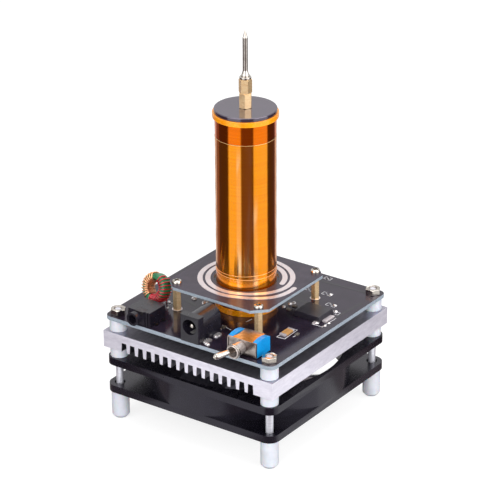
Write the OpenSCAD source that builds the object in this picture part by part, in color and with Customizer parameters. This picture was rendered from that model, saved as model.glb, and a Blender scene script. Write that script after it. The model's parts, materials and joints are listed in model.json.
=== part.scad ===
// Desktop resonant transformer: an upright wound coil with a needle on top,
// a flat printed primary track round its foot, a driver board with two
// sockets, a lever switch and a wound choke, and below it a finned heat
// sink, a cooling fan and four feet, clamped by four long studs.
// Millimetres. +Z is up, the feet stand on z = 0, the sockets face -Y.

/* [Stack] */
// Height of each foot
foot_h = 12; // [10:0.5:20]
// Diameter of the feet and of the round spacers
spacer_d = 7; // [6:0.25:8]
// Height of the spacers between the fan and the heat sink
lower_spacer_h = 4.2; // [3:0.2:10]
// Height of the spacers between the heat sink and the main board
upper_spacer_h = 5; // [4:0.25:12]
// Distance from the stack's sides to the middle of each corner stud
stud_in = 4.25; // [3.8:0.05:5]
// Diameter of the corner studs
stud_d = 3; // [2:0.25:3.5]
// Width across the flats of the stud nuts
nut_af = 5.5; // [5:0.25:6.5]
// Height of the stud nuts
nut_h = 2.4; // [1.8:0.2:4]

/* [Fan] */
// Height of the fan
fan_h = 15; // [13:0.5:25]
// Thickness of the two corner flanges
fan_flange_t = 3.05; // [2:0.25:4]
// Corner radius of the flanges
fan_corner_r = 4.5; // [2:0.5:6]
// Distance from the fan's sides to the bore of the air duct
fan_bore_in = 1.6; // [1.2:0.1:5]
// Wall of the air duct
fan_wall = 2.4; // [1.2:0.2:3]
// Hole for each stud in the flanges
fan_hole_d = 4.3; // [4:0.1:5]
// Outer diameter of the rotor hub
hub_d = 34; // [30:1:40]
// Number of blades
blade_count = 7; // [5:1:9]
// Gap between the blade tips and the duct
tip_gap = 1; // [0.6:0.1:2]

/* [Heat sink] */
// Thickness of the heat sink's plate
sink_plate_t = 3.2; // [2:0.2:6]
// Height of the fins
fin_h = 3.8; // [2:0.2:12]
// Distance from one fin to the next
fin_pitch = 4; // [3.4:0.1:4.1]
// Width of the gap between two fins
fin_gap = 2.35; // [1.4:0.05:2.6]
// Solid margin beside the outermost gaps
sink_margin = 8.8; // [8:0.2:14]

/* [Boards] */
// Distance from the stack's sides to the main board's sides
board_in = 0.25; // [0:0.05:1]
// Thickness of the main board
board_t = 1.6; // [1:0.2:2.4]
// Corner radius of the main board
board_corner_r = 3; // [1:0.5:4]
// Distance from the printed track to the sides of the primary board
primary_rim = 1.325; // [0.5:0.025:5]
// Thickness of the primary board
primary_t = 1.2; // [0.8:0.2:2]
// Length cut off each corner of the primary board
primary_cut = 5.2; // [2:0.2:6]
// Length of the brass standoffs
standoff_h = 9.94; // [8:0.5:20]
// Width across the flats of the brass standoffs
standoff_af = 3; // [2.8:0.1:4]
// Distance from the primary board's sides to each standoff's middle
standoff_in = 4.15; // [3.5:0.05:4.5]
// Diameter of the small screws in the standoffs
screw_d = 2; // [1.4:0.1:2.2]
// Head diameter of the small screws
screw_head_d = 3.8; // [3:0.1:4.4]
// Head height of the small screws
screw_head_h = 1.4; // [1:0.1:2]

// Gap between the power socket and the primary board; it widens the stack
power_gap = 2.75; // [0.5:0.25:12]

/* [Primary track] */
// Width of the printed track
track_w = 2.05; // [1:0.05:2.3]
// Thickness of the tinned track
track_t = 0.15; // [0.05:0.05:0.5]
// Distance from one turn of the track to the next
track_pitch = 3.05; // [2.8:0.05:3.3]
// Distance from the hole's edge to the innermost turn
track_in = 1.375; // [0.6:0.025:2]

/* [Coil] */
// Outer diameter of the coil's tube
tube_d = 23.2; // [20:0.2:24]
// Wall of the coil's tube
tube_wall = 1.5; // [0.8:0.1:3]
// Height of the coil's tube
tube_h = 80.9; // [50:1:120]
// Thickness of the layer of fine wire
wire_layer_t = 0.18; // [0.1:0.02:0.4]
// Thickness of the clear tape over the wire
tape_t = 0.08; // [0.04:0.02:0.2]
// Height of the coloured band at the foot of the tube
lower_band_h = 2.4; // [1:0.2:6]
// Thickness of the band at the foot
lower_band_t = 0.5; // [0.2:0.1:0.7]
// Height of the coloured band at the top of the tube
upper_band_h = 2; // [1:0.2:6]
// Thickness of the band at the top
upper_band_t = 0.8; // [0.2:0.1:1]
// Distance that the black cap disc stands out from the tube
cap_out = 0.5; // [0:0.1:2]
// Thickness of the cap disc
cap_t = 1.5; // [1:0.1:3]

/* [Needle] */
// Width across the flats of the two brass posts
post_af = 4.5; // [4.2:0.1:6]
// Height of the lower brass post
lower_post_h = 6; // [5:0.25:12]
// Height of the upper brass post
upper_post_h = 5.5; // [4.5:0.25:12]
// Turn of the upper post against the lower one, in degrees
post_turn = 27; // [0:1:59]
// Diameter of the plated collar
collar_d = 4.6; // [3.6:0.1:6]
// Height of the plated collar
collar_h = 1; // [0.5:0.1:2]
// Diameter of the needle
needle_d = 2; // [1.4:0.1:2.6]
// Length of the needle above the collar
needle_l = 18.8; // [12:0.4:40]
// Length of the needle's point
point_l = 3.4; // [1:0.2:6]

/* [Audio socket] */
// Width of the audio socket
audio_w = 10.7; // [9:0.1:13]
// Depth of the audio socket
audio_d = 10.6; // [9:0.1:14]
// Height of the audio socket
audio_h = 6.1; // [5.8:0.1:8]
// Diameter of the audio socket's nose
audio_nose_d = 5.4; // [5:0.1:5.8]
// Length of the audio socket's nose
audio_nose_l = 2.6; // [1:0.1:5]
// Bore for the plug
audio_bore_d = 3.6; // [3.55:0.05:4]

/* [Power socket] */
// Width of the power socket
power_w = 9; // [8.6:0.1:11]
// Depth of the power socket
power_d = 14.2; // [13:0.1:16]
// Height of the power socket
power_h = 11; // [10.6:0.1:13]
// Depth of the square collar at its front
power_collar_d = 3.3; // [2:0.1:5]
// Bore for the plug
power_bore_d = 6.3; // [6:0.1:6.6]
// Diameter of the centre pin
power_pin_d = 2; // [1.6:0.1:2.5]

/* [Switch] */
// Length of the switch body along the front edge
switch_w = 13.3; // [12.5:0.1:15]
// Depth of the switch body
switch_d = 8.9; // [8:0.1:10]
// Height of the switch body
switch_h = 6.2; // [6:0.1:8]
// Outer diameter of the bushing
bushing_d = 5.2; // [4.8:0.1:5.8]
// Length of the bushing
bushing_l = 5.4; // [4.6:0.2:8]
// Length of the lever beyond the bushing
lever_l = 7.6; // [6:0.2:12]
// Diameter of the lever at its end
lever_d = 2.6; // [2:0.1:3]
// Lean of the lever at rest, in degrees
lever_lean = 17; // [12:1:18]

/* [Choke] */
// Outer diameter of the ring core
ring_d = 11; // [10:0.2:12]
// Hole of the ring core
ring_hole_d = 6.4; // [6:0.1:6.8]
// Thickness of the ring core
ring_t = 5; // [4:0.2:6]
// Diameter of the choke's wire
choke_wire_d = 0.5; // [0.3:0.02:0.52]
// Turns of red wire
red_turns = 10; // [5:1:10]
// Turns of copper wire
copper_turns = 7; // [4:1:7]

/* [Parts on the board] */
// Length of the power package along X
package_w = 12; // [9:0.2:13]
// Depth of the power package along Y
package_d = 9.5; // [7:0.2:11]
// Height of the power package
package_h = 2.4; // [1.6:0.1:4]
// Length of the small light-coloured chip
chip_l = 6.4; // [4:0.2:8]
// Width of the small light-coloured chip
chip_w = 2.8; // [2:0.1:3.6]
// Height of the small light-coloured chip
chip_h = 0.9; // [0.6:0.1:1.6]

/* [Hidden] */

// Facet counts: they set how finely curves are drawn, not any size.
round_fn = 64;
wide_fn = 128;
small_fn = 32;
hex_fn = 6;

// One overrun for every cut.
over = 0.5;
// Clearance of a screw or stud in the threaded hole that it fills.
thread_fit = 0.04;
// Clearance of a stud in a plain hole.
hole_fit = 0.1;
// Clearance between sleeves that sit in one another.
sleeve_fit = 0.03;
// Running clearance of the fan's shaft in its bearing.
run_fit = 0.04;

// Feet and studs.
stud_r = stud_d / 2;
stud_hole_r = stud_r + hole_fit;
stud_thread_r = stud_r + thread_fit;
stud_edge = 0.4;
stud_below_nut = 0.3;
foot_thread_l = 8;
foot_edge_w = 1.2;
foot_edge_h = 1.3;
foot_recess_d = 2.4;
foot_recess_h = 0.6;

// Widths, from the coil outwards: the primary board surrounds the coil and
// its track, and the power socket's depth sets the margin beside it.
tube_r = tube_d / 2;
wire_r = tube_r + sleeve_fit + wire_layer_t;
tape_r = wire_r + sleeve_fit + tape_t;
band_r = tape_r + sleeve_fit;
primary_hole_gap = 0.7;
primary_hole_r = band_r + primary_hole_gap;
track_r = primary_hole_r + track_in + track_w / 2;
primary_w = 2 * (track_r + 2 * track_pitch + track_w / 2 + primary_rim);
standoff_spacing = primary_w - 2 * standoff_in;
power_overhang = 0.45;
stack_w = primary_w + 2 * (power_d - power_overhang + power_gap);
stud_spacing = stack_w - 2 * stud_in;
fan_w = stack_w;
fan_bore_d = fan_w - 2 * fan_bore_in;
sink_w = stack_w;
gap_count = floor((sink_w - 2 * sink_margin + fin_pitch - fin_gap) / fin_pitch);
board_w = stack_w - 2 * board_in;

// Levels, from the table up.
fan_z = foot_h;
lower_spacer_z = fan_z + fan_h;
sink_z = lower_spacer_z + lower_spacer_h;
sink_h = fin_h + sink_plate_t;
upper_spacer_z = sink_z + sink_h;
board_z = upper_spacer_z + upper_spacer_h;
board_top = board_z + board_t;
pad_t = 0.06;
primary_z = board_top + pad_t + standoff_h;
primary_top = primary_z + primary_t;
cap_z = board_top + tube_h;
cap_top = cap_z + cap_t;
upper_post_z = cap_top + lower_post_h;
collar_z = upper_post_z + upper_post_h;

// Fan.
fan_bore_r = fan_bore_d / 2;
duct_r = fan_bore_r + fan_wall;
fan_mouth_h = 1.6;
fan_mouth_w = 1.1;
seat_t = 2;
strut_gap = 0.8;
seat_r = hub_d / 2 - strut_gap;
strut_count = 4;
strut_w = 3.2;
strut_h = 2.6;
strut_lean = 24;
strut_turn = 58;
shaft_r = 1.5;
bearing_wall = 1.5;
bearing_r = shaft_r + run_fit + bearing_wall;
post_wall = 1.15;
bearing_post_r = bearing_r + sleeve_fit + post_wall;
hub_r = hub_d / 2;
hub_wall = 1.4;
hub_floor_t = 1.5;
hub_low = 0.8;
hub_rim_gap = 0.5;
hub_edge = 1;
hub_top = fan_h - seat_t - hub_rim_gap;
boss_r = 3;
boss_h = 1.2;
boss_top = hub_low + hub_floor_t + boss_h;
axial_gap = 0.3;
bearing_low = boss_top + axial_gap;
yoke_t = 0.7;
magnet_t = 1.8;
air_gap = 0.5;
yoke_r = hub_r - hub_wall - sleeve_fit;
magnet_r = yoke_r - yoke_t - sleeve_fit;
stator_r = magnet_r - magnet_t - air_gap;
magnet_low = hub_low + hub_floor_t + sleeve_fit;
magnet_rim_gap = 0.6;
magnet_h = hub_top - magnet_rim_gap - magnet_low;
circuit_t = 0.8;
circuit_edge_gap = 1.2;
circuit_r = stator_r + air_gap;
circuit_z = fan_h - seat_t - circuit_t;
stator_h = 3.2;
stator_z = (bearing_low + circuit_z - stator_h) / 2;
pole_count = 4;
pole_w = 3;
pole_shoe_t = 1.2;
pole_slot_w = 2.6;
core_ring_t = 1.8;
core_ring_r = bearing_post_r + sleeve_fit + core_ring_t;
coil_wall = 1.3;
coil_shoe_gap = 0.3;

// Blades: shares of the hub's height and of the duct's radius.
blade_z_shares = [0.06, 0.94];
blade_root_r = hub_r - hub_wall / 2;
blade_tip_r = fan_bore_r - tip_gap;
blade_root_wrap = 30;
blade_tip_wrap = 27;
blade_sweep = 17;
blade_camber_share = 0.11;
blade_t = 1.5;
blade_edge_share = 0.42;
blade_stations = 6;
blade_step_count = 8;

// Heat sink.
fin_draft_share = 0.05;

// Standoffs, screws and pads.
screw_r = screw_d / 2;
screw_in = 3.5;
cross_w = 0.55;
cross_l = 2.2;
cross_depth = 0.8;
head_rim_share = 0.45;
hex_edge = 0.25;
pad_d = 4.1;

// Printed track: angles of its two shifts from one turn to the next.
track_start = 6;
track_sweep = 714;
track_step = 6;
end_step = 30;
shift_starts = [18, 351];
shift_ends = [76, 430];

// Coil.
cap_d = tube_d + 2 * cap_out;
winding_gap = 0.2;
cap_edge = 0.2;

// Screw through the cap and the two posts.
cap_screw_r = 1.25;
cap_screw_head_r = 2.25;
cap_screw_head_h = 1.6;
cap_screw_in = 2.6;
post_edge = 0.45;
post_stud_l = 2.2;
needle_stud_r = 0.8;
needle_stud_l = 3;
needle_flare_d = 3.3;
needle_flare_h = 2.4;
point_end_r = 0.06;

// Audio socket: its place from the board's left and front edges.
audio_in = 16.5;
audio_x = audio_in - board_w / 2;
audio_front_in = 0.55;
audio_nose_x = -0.95;
audio_axis_h = 3.1;
audio_bore_l = 11.4;
audio_edge = 0.5;
audio_groove_w = 0.7;
audio_groove_in = 0.4;
audio_groove_xs = [3.3, 4.6];
clip_t = 0.3;
clip_w = 4;
clip_l = 2.6;
clip_drop = 1.2;
clip_x = 0.55;
clip_fit = 0.1;
lug_t = 0.5;
lug_w = 1.6;
lug_out = 0.9;
audio_lug_shares = [0.3, 0.72];

// Power socket.
power_x = 1.95;
power_axis_h = 6.4;
power_barrel_r = power_w / 2;
power_bore_l = 10.6;
power_pin_in = 1.2;
power_edge = 0.4;
power_notch_w = 1.2;
power_notch_d = 2.2;
power_notch_h = 3;
leaf_w = 2.4;
leaf_t = 0.3;
leaf_in = 1.6;
power_lug_l = 3.2;
power_lug_w = 1.7;
power_lug_h = 0.7;
power_lug_shares = [0.2, 0.64];
rear_lug_w = 2.6;
rear_lug_d = 1.1;
power_pin_root_l = 1.4;

// Switch.
switch_in = 15.3;
switch_x = board_w / 2 - switch_in;
switch_front_in = 2.25;
switch_lift = 0.35;
bracket_t = 0.35;
bracket_w = 9;
cheek_rise = 0.9;
cheek_slit = 0.05;
face_rim = 0.9;
bushing_x = -0.7;
bushing_h = 2.9;
bushing_bore_d = 2.9;
bushing_mouth_d = 4.3;
pivot_in = 3.1;
ball_r = 1.25;
cross_pin_d = 0.9;
bushing_floor = 0.6;
ring_over_d = 5.9;
ring_len = 1;
ring_in = 0.5;
neck_d = 1.5;
neck_l = 2.6;
lever_dimple_d = 1.1;
lever_dimple_h = 0.4;
leg_w = 0.9;
leg_in = 0.5;
pin_w = 1.1;
pin_t = 0.6;
pin_pitch = 4.7;
pin_rise = 1.6;
pin_back = 1.4;

// Choke: beside the primary board and behind the audio socket.
choke_out_x = 5.5;
choke_behind = 9;
choke_x = -primary_w / 2 - choke_out_x;
choke_y = audio_front_in + audio_d + choke_behind - board_w / 2;
choke_turn = -5.5;
choke_tilt = 19;
choke_seat = 0.1;
ring_edge = 0.45;
wire_lift = 0.08;
red_start = -100;
red_step = 18.6;
copper_start = -122;
copper_step = -18.6;
loop_ring_count = 24;
wire_side_count = 6;
lead_ring_count = 8;
wind_end_share = 0.4;
lead_rise = 0.8;
lead_bend = 0.9;
lead_foot_back = 1;
lead_drop = 3.6;
lead_back = 1.9;
lead_out = 1.7;
lead_in_share = 0.6;

// Package, chip and the small parts.
package_out_x = 3.9;
package_x = primary_w / 2 + package_out_x;
package_y = 6.2;
package_edge = 0.5;
tab_w = 6;
tab_l = 1.9;
tab_t = 0.6;
lead_w = 1.2;
lead_l = 1.7;
lead_t = 0.5;
lead_share = 0.36;
chip_out_x = 4.3;
chip_x = primary_w / 2 + chip_out_x;
chip_y = -12.6;
chip_end_l = 1;
chip_end_over = 0.05;
grain_w = 1.25;
grain_l = 2;
grain_h = 0.55;
// Places of the small parts, as shares of half the board, and their turns.
grain_shares = [[0.43, 0.21, 0], [0.425, 0.115, 0], [0.8, -0.29, 90],
    [0.13, -0.56, 90], [-0.15, 0.53, 0], [-0.31, 0.64, 90], [0.16, 0.69, 0],
    [-0.69, 0.16, 0], [-0.76, 0.31, 90]];

module at_corners(spacing) {
    for (sx = [-1, 1], sy = [-1, 1])
        translate([sx * spacing / 2, sy * spacing / 2, 0])
            children();
}

module rounded_square(side, corner_r) {
    square([side - 2 * corner_r, side], center = true);
    square([side, side - 2 * corner_r], center = true);
    for (sx = [-1, 1], sy = [-1, 1])
        translate([sx * (side / 2 - corner_r), sy * (side / 2 - corner_r)])
            circle(r = corner_r, $fn = small_fn);
}

// A ring or sleeve between two radii.
module sleeve(outer, inner, h, fn = round_fn) {
    difference() {
        cylinder(h = h, r = outer, $fn = fn);
        translate([0, 0, -over])
            cylinder(h = h + 2 * over, r = inner, $fn = fn);
    }
}

// A hexagonal bar with its two ends turned to a slight bevel.
module hex_bar(af, h, edge) {
    corner_r = af / sqrt(3);
    intersection() {
        cylinder(h = h, r = corner_r, $fn = hex_fn);
        rotate_extrude($fn = round_fn)
            polygon([
                [0, 0],
                [corner_r - edge, 0],
                [corner_r, edge / 2],
                [corner_r, h - edge / 2],
                [corner_r - edge, h],
                [0, h]
            ]);
    }
}

// A pan-head screw: the head stands on z = 0 and the shank runs down.
module pan_screw(head_r, head_h, shank_r, shank_l) {
    difference() {
        rotate_extrude($fn = small_fn)
            polygon([
                [0, -shank_l],
                [shank_r, -shank_l],
                [shank_r, 0],
                [head_r, 0],
                [head_r, head_h * head_rim_share],
                [head_r * 0.9, head_h * 0.76],
                [head_r * 0.66, head_h * 0.94],
                [head_r * 0.34, head_h],
                [0, head_h]
            ]);
        for (a = [0, 90])
            rotate([0, 0, a])
                translate([-cross_l / 2, -cross_w / 2, head_h - cross_depth])
                    cube([cross_l, cross_w, cross_depth + over]);
    }
}

// A block whose upright edges are cut by a small bevel.
module bevel_block(w, d, h, edge) {
    linear_extrude(h)
        polygon([
            [edge - w / 2, 0],
            [w / 2 - edge, 0],
            [w / 2, edge],
            [w / 2, d - edge],
            [w / 2 - edge, d],
            [edge - w / 2, d],
            [-w / 2, d - edge],
            [-w / 2, edge]
        ]);
}

module feet() {
    color("white")
    at_corners(stud_spacing)
        rotate_extrude($fn = round_fn)
            polygon([
                [0, foot_recess_h],
                [foot_recess_d / 2, foot_recess_h],
                [foot_recess_d / 2, 0],
                [spacer_d / 2 - foot_edge_w, 0],
                [spacer_d / 2, foot_edge_h],
                [spacer_d / 2, foot_h],
                [stud_thread_r, foot_h],
                [stud_thread_r, foot_h - foot_thread_l],
                [0, foot_h - foot_thread_l]
            ]);
}

module clamp_studs() {
    stud_l = board_top + nut_h - stud_below_nut - foot_h + foot_thread_l;
    color("silver")
    translate([0, 0, foot_h - foot_thread_l])
    at_corners(stud_spacing)
        rotate_extrude($fn = small_fn)
            polygon([
                [0, 0],
                [stud_r - stud_edge, 0],
                [stud_r, stud_edge],
                [stud_r, stud_l - stud_edge],
                [stud_r - stud_edge, stud_l],
                [0, stud_l]
            ]);
}

module fan_strut() {
    rotate([0, 0, strut_turn])
        translate([seat_r * cos(strut_lean), seat_r * sin(strut_lean), fan_h - strut_h])
            rotate([0, 0, -strut_lean / 2])
                translate([-strut_w, -strut_w / 2, 0])
                    cube([duct_r - seat_r + strut_w, strut_w, strut_h]);
}

module fan_frame() {
    color("dimgray")
    translate([0, 0, fan_z]) {
        difference() {
            union() {
                linear_extrude(fan_flange_t)
                    rounded_square(fan_w, fan_corner_r);
                translate([0, 0, fan_h - fan_flange_t])
                    linear_extrude(fan_flange_t)
                        rounded_square(fan_w, fan_corner_r);
                intersection() {
                    cylinder(h = fan_h, r = duct_r, $fn = wide_fn);
                    translate([-fan_w / 2, -fan_w / 2, 0])
                        cube([fan_w, fan_w, fan_h]);
                }
            }
            translate([0, 0, -over])
                cylinder(h = fan_h + 2 * over, r = fan_bore_r, $fn = wide_fn);
            // The air's way in widens a little at the mouth.
            rotate_extrude($fn = wide_fn)
                polygon([
                    [0, -over],
                    [fan_bore_r + fan_mouth_w, -over],
                    [fan_bore_r + fan_mouth_w, 0],
                    [fan_bore_r, fan_mouth_h],
                    [0, fan_mouth_h]
                ]);
            translate([0, 0, -over])
                at_corners(stud_spacing)
                    cylinder(h = fan_h + 2 * over, r = fan_hole_d / 2, $fn = small_fn);
        }
        difference() {
            union() {
                intersection() {
                    for (k = [0 : strut_count - 1])
                        rotate([0, 0, k * 360 / strut_count])
                            fan_strut();
                    cylinder(h = fan_h, r = fan_bore_r + fan_wall / 2, $fn = wide_fn);
                }
                translate([0, 0, fan_h - seat_t])
                    cylinder(h = seat_t, r = seat_r, $fn = round_fn);
                translate([0, 0, bearing_low])
                    cylinder(h = fan_h - seat_t - bearing_low, r = bearing_post_r, $fn = round_fn);
            }
            // Bearing seat, and room for the circuit and the rotor's rim.
            translate([0, 0, bearing_low - over])
                cylinder(h = fan_h - seat_t - bearing_low + over, r = bearing_r + sleeve_fit, $fn = round_fn);
            translate([0, 0, fan_h - strut_h - over])
                difference() {
                    cylinder(h = strut_h - seat_t + over, r = seat_r + strut_gap + hub_rim_gap, $fn = round_fn);
                    translate([0, 0, -over])
                        cylinder(h = strut_h + 2 * over, r = bearing_post_r, $fn = round_fn);
                }
        }
    }
}

module fan_bearing() {
    color("darkgoldenrod")
    translate([0, 0, fan_z + bearing_low])
        sleeve(bearing_r, shaft_r + run_fit, fan_h - seat_t - bearing_low, small_fn);
}

module fan_stator() {
    color("gray")
    translate([0, 0, fan_z + stator_z])
        difference() {
            union() {
                cylinder(h = stator_h, r = core_ring_r, $fn = round_fn);
                for (k = [0 : pole_count - 1])
                    rotate([0, 0, k * 360 / pole_count])
                        translate([0, -pole_w / 2, 0])
                            cube([stator_r - pole_shoe_t / 2, pole_w, stator_h]);
                difference() {
                    cylinder(h = stator_h, r = stator_r, $fn = round_fn);
                    translate([0, 0, -over])
                        cylinder(h = stator_h + 2 * over, r = stator_r - pole_shoe_t, $fn = round_fn);
                    for (k = [0 : pole_count - 1])
                        rotate([0, 0, (k + 0.5) * 360 / pole_count])
                            translate([0, -pole_slot_w / 2, -over])
                                cube([stator_r + over, pole_slot_w, stator_h + 2 * over]);
                }
            }
            translate([0, 0, -over])
                cylinder(h = stator_h + 2 * over, r = bearing_post_r + sleeve_fit, $fn = round_fn);
        }
}

module fan_coils() {
    coil_start = core_ring_r + coil_shoe_gap;
    coil_w = pole_w + 2 * (sleeve_fit + coil_wall);
    shoe_in_r = stator_r - pole_shoe_t;
    coil_l = sqrt(pow(shoe_in_r, 2) - pow(coil_w / 2, 2)) - coil_shoe_gap - coil_start;
    coil_hh = stator_h + 2 * (sleeve_fit + coil_wall);
    color("peru")
    translate([0, 0, fan_z + stator_z + stator_h / 2])
        for (k = [0 : pole_count - 1])
            rotate([0, 0, k * 360 / pole_count])
                difference() {
                    translate([coil_start, 0, 0])
                        rotate([0, 90, 0])
                            linear_extrude(coil_l)
                                square([coil_hh, coil_w], center = true);
                    translate([coil_start - over, 0, 0])
                        rotate([0, 90, 0])
                            linear_extrude(coil_l + 2 * over)
                                square([stator_h + 2 * sleeve_fit, pole_w + 2 * sleeve_fit], center = true);
                }
}

module fan_circuit() {
    color("darkgreen")
    translate([0, 0, fan_z + circuit_z])
        sleeve(circuit_r, bearing_post_r + sleeve_fit, circuit_t);
}

// Blade sections: s runs from root to tip, u from the leading edge back.
function blade_r(s) = blade_root_r + s * (blade_tip_r - blade_root_r);
function blade_wrap(s) = blade_root_wrap + s * (blade_tip_wrap - blade_root_wrap);
function blade_low() = hub_low + blade_z_shares[0] * (hub_top - hub_low);
function blade_high() = hub_low + blade_z_shares[1] * (hub_top - hub_low);
function blade_thick(u) =
    blade_t * (blade_edge_share + (1 - blade_edge_share) * sin(180 * u)) / 2;
function blade_pt(s, u, side) =
    let (
        r = blade_r(s),
        wrap = blade_wrap(s),
        span = blade_high() - blade_low(),
        arc = r * wrap * PI / 180,
        slope = atan2(span, arc),
        rise = span * (u + blade_camber_share * sin(180 * u)),
        turn = blade_sweep * s * s - wrap * (u - 0.5),
        off = side * blade_thick(u)
    )
    [
        r * cos(turn + off * sin(slope) / r * 180 / PI),
        r * sin(turn + off * sin(slope) / r * 180 / PI),
        blade_low() + blade_t / 2 + rise * (span - blade_t) / span + off * cos(slope)
    ];

module fan_blade() {
    ns = blade_stations;
    nu = blade_step_count;
    row = nu + 1;
    sheet = (ns + 1) * row;
    points = concat(
        [for (i = [0 : ns], j = [0 : nu]) blade_pt(i / ns, j / nu, 1)],
        [for (i = [0 : ns], j = [0 : nu]) blade_pt(i / ns, j / nu, -1)]
    );
    top = [for (i = [0 : ns - 1], j = [0 : nu - 1], h = [0, 1])
        let (a = i * row + j, b = a + 1, c = a + row, d = c + 1)
        h == 0 ? [a, d, b] : [a, c, d]];
    low = [for (i = [0 : ns - 1], j = [0 : nu - 1], h = [0, 1])
        let (a = sheet + i * row + j, b = a + 1, c = a + row, d = c + 1)
        h == 0 ? [a, b, d] : [a, d, c]];
    lead = [for (i = [0 : ns - 1], h = [0, 1])
        let (a = i * row, c = a + row)
        h == 0 ? [a, sheet + c, c] : [a, sheet + a, sheet + c]];
    trail = [for (i = [0 : ns - 1], h = [0, 1])
        let (a = i * row + nu, c = a + row)
        h == 0 ? [a, c, sheet + c] : [a, sheet + c, sheet + a]];
    root = [for (j = [0 : nu - 1], h = [0, 1])
        let (a = j, b = j + 1)
        h == 0 ? [a, b, sheet + b] : [a, sheet + b, sheet + a]];
    tip = [for (j = [0 : nu - 1], h = [0, 1])
        let (a = ns * row + j, b = a + 1)
        h == 0 ? [a, sheet + b, b] : [a, sheet + a, sheet + b]];
    polyhedron(points = points, faces = concat(top, low, lead, trail, root, tip));
}

module fan_rotor() {
    color("darkslategray")
    translate([0, 0, fan_z]) {
        rotate_extrude($fn = wide_fn)
            polygon([
                [shaft_r + sleeve_fit, hub_low],
                [hub_r - hub_edge, hub_low],
                [hub_r - hub_edge * 0.3, hub_low + hub_edge * 0.3],
                [hub_r, hub_low + hub_edge],
                [hub_r, hub_top],
                [hub_r - hub_wall, hub_top],
                [hub_r - hub_wall, hub_low + hub_floor_t],
                [boss_r, hub_low + hub_floor_t],
                [boss_r, boss_top],
                [shaft_r + sleeve_fit, boss_top]
            ]);
        for (k = [0 : blade_count - 1])
            rotate([0, 0, k * 360 / blade_count])
                fan_blade();
    }
}

module fan_yoke() {
    color("slategray")
    translate([0, 0, fan_z + magnet_low])
        sleeve(yoke_r, yoke_r - yoke_t, magnet_h);
}

module fan_magnet() {
    color("darkgray")
    translate([0, 0, fan_z + magnet_low])
        sleeve(magnet_r, magnet_r - magnet_t, magnet_h);
}

module fan_shaft() {
    shaft_low = hub_low + axial_gap;
    color("silver")
    translate([0, 0, fan_z + shaft_low])
        cylinder(h = fan_h - seat_t - axial_gap - shaft_low, r = shaft_r, $fn = small_fn);
}

module lower_spacers() {
    color("white")
    translate([0, 0, lower_spacer_z])
        at_corners(stud_spacing)
            sleeve(spacer_d / 2, stud_hole_r, lower_spacer_h, small_fn);
}

module sink_profile() {
    draft = fin_gap * fin_draft_share;
    difference() {
        translate([-sink_w / 2, 0])
            square([sink_w, sink_h]);
        for (k = [0 : gap_count - 1])
            translate([(k - (gap_count - 1) / 2) * fin_pitch, 0])
                polygon([
                    [-fin_gap / 2 - draft, -over],
                    [fin_gap / 2 + draft, -over],
                    [fin_gap / 2 + draft, 0],
                    [fin_gap / 2 - draft, fin_h],
                    [draft - fin_gap / 2, fin_h],
                    [-fin_gap / 2 - draft, 0]
                ]);
    }
}

module heat_sink() {
    color("silver")
    translate([0, 0, sink_z])
        difference() {
            translate([0, sink_w / 2, 0])
                rotate([90, 0, 0])
                    linear_extrude(sink_w)
                        sink_profile();
            translate([0, 0, -over])
                at_corners(stud_spacing)
                    cylinder(h = sink_h + 2 * over, r = stud_hole_r, $fn = small_fn);
        }
}

module upper_spacers() {
    color("white")
    translate([0, 0, upper_spacer_z])
        at_corners(stud_spacing)
            sleeve(spacer_d / 2, stud_hole_r, upper_spacer_h, small_fn);
}

module main_board() {
    color("#202024")
    translate([0, 0, board_z])
        difference() {
            linear_extrude(board_t)
                rounded_square(board_w, board_corner_r);
            translate([0, 0, -over])
                at_corners(stud_spacing)
                    cylinder(h = board_t + 2 * over, r = stud_hole_r, $fn = small_fn);
            translate([0, 0, -over])
                at_corners(standoff_spacing)
                    cylinder(h = board_t + 2 * over, r = screw_r + hole_fit, $fn = small_fn);
        }
}

module board_nuts() {
    color("silver")
    translate([0, 0, board_top])
        at_corners(stud_spacing)
            difference() {
                hex_bar(nut_af, nut_h, 2 * hex_edge);
                translate([0, 0, -over])
                    cylinder(h = nut_h + 2 * over, r = stud_thread_r, $fn = small_fn);
            }
}

module board_pads() {
    color("gainsboro")
    translate([0, 0, board_top])
        at_corners(standoff_spacing)
            sleeve(pad_d / 2, screw_r + hole_fit, pad_t, small_fn);
}

module board_standoffs() {
    color("goldenrod")
    translate([0, 0, board_top + pad_t])
        at_corners(standoff_spacing)
            difference() {
                hex_bar(standoff_af, standoff_h, hex_edge);
                translate([0, 0, -over])
                    cylinder(h = standoff_h + 2 * over, r = screw_r + thread_fit, $fn = small_fn);
            }
}

// The lower screws hold the standoffs from below the main board.
module board_screws() {
    color("silver")
    translate([0, 0, board_z])
        at_corners(standoff_spacing)
            mirror([0, 0, 1])
                pan_screw(screw_head_d / 2, screw_head_h, screw_r, board_t + pad_t + screw_in);
}

module primary_board() {
    side = primary_w / 2;
    cut = side - primary_cut;
    color("#35353a")
    translate([0, 0, primary_z])
        difference() {
            linear_extrude(primary_t)
                polygon([
                    [-cut, -side],
                    [cut, -side],
                    [side, -cut],
                    [side, cut],
                    [cut, side],
                    [-cut, side],
                    [-side, cut],
                    [-side, -cut]
                ]);
            translate([0, 0, -over])
                cylinder(h = primary_t + 2 * over, r = primary_hole_r, $fn = wide_fn);
            translate([0, 0, -over])
                at_corners(standoff_spacing)
                    cylinder(h = primary_t + 2 * over, r = screw_r + hole_fit, $fn = small_fn);
        }
}

// The track is one strip that steps inwards twice on its way round.
function ease(t, a, b) =
    let (x = min(1, max(0, (t - a) / (b - a))))
    x * x * (3 - 2 * x);
function track_radius(t) = track_r + track_pitch * (2
    - ease(t, shift_starts[0], shift_ends[0])
    - ease(t, shift_starts[1], shift_ends[1]));
function track_pt(t, off) =
    (track_radius(t) + off) * [cos(track_start - t), sin(track_start - t)];

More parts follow.
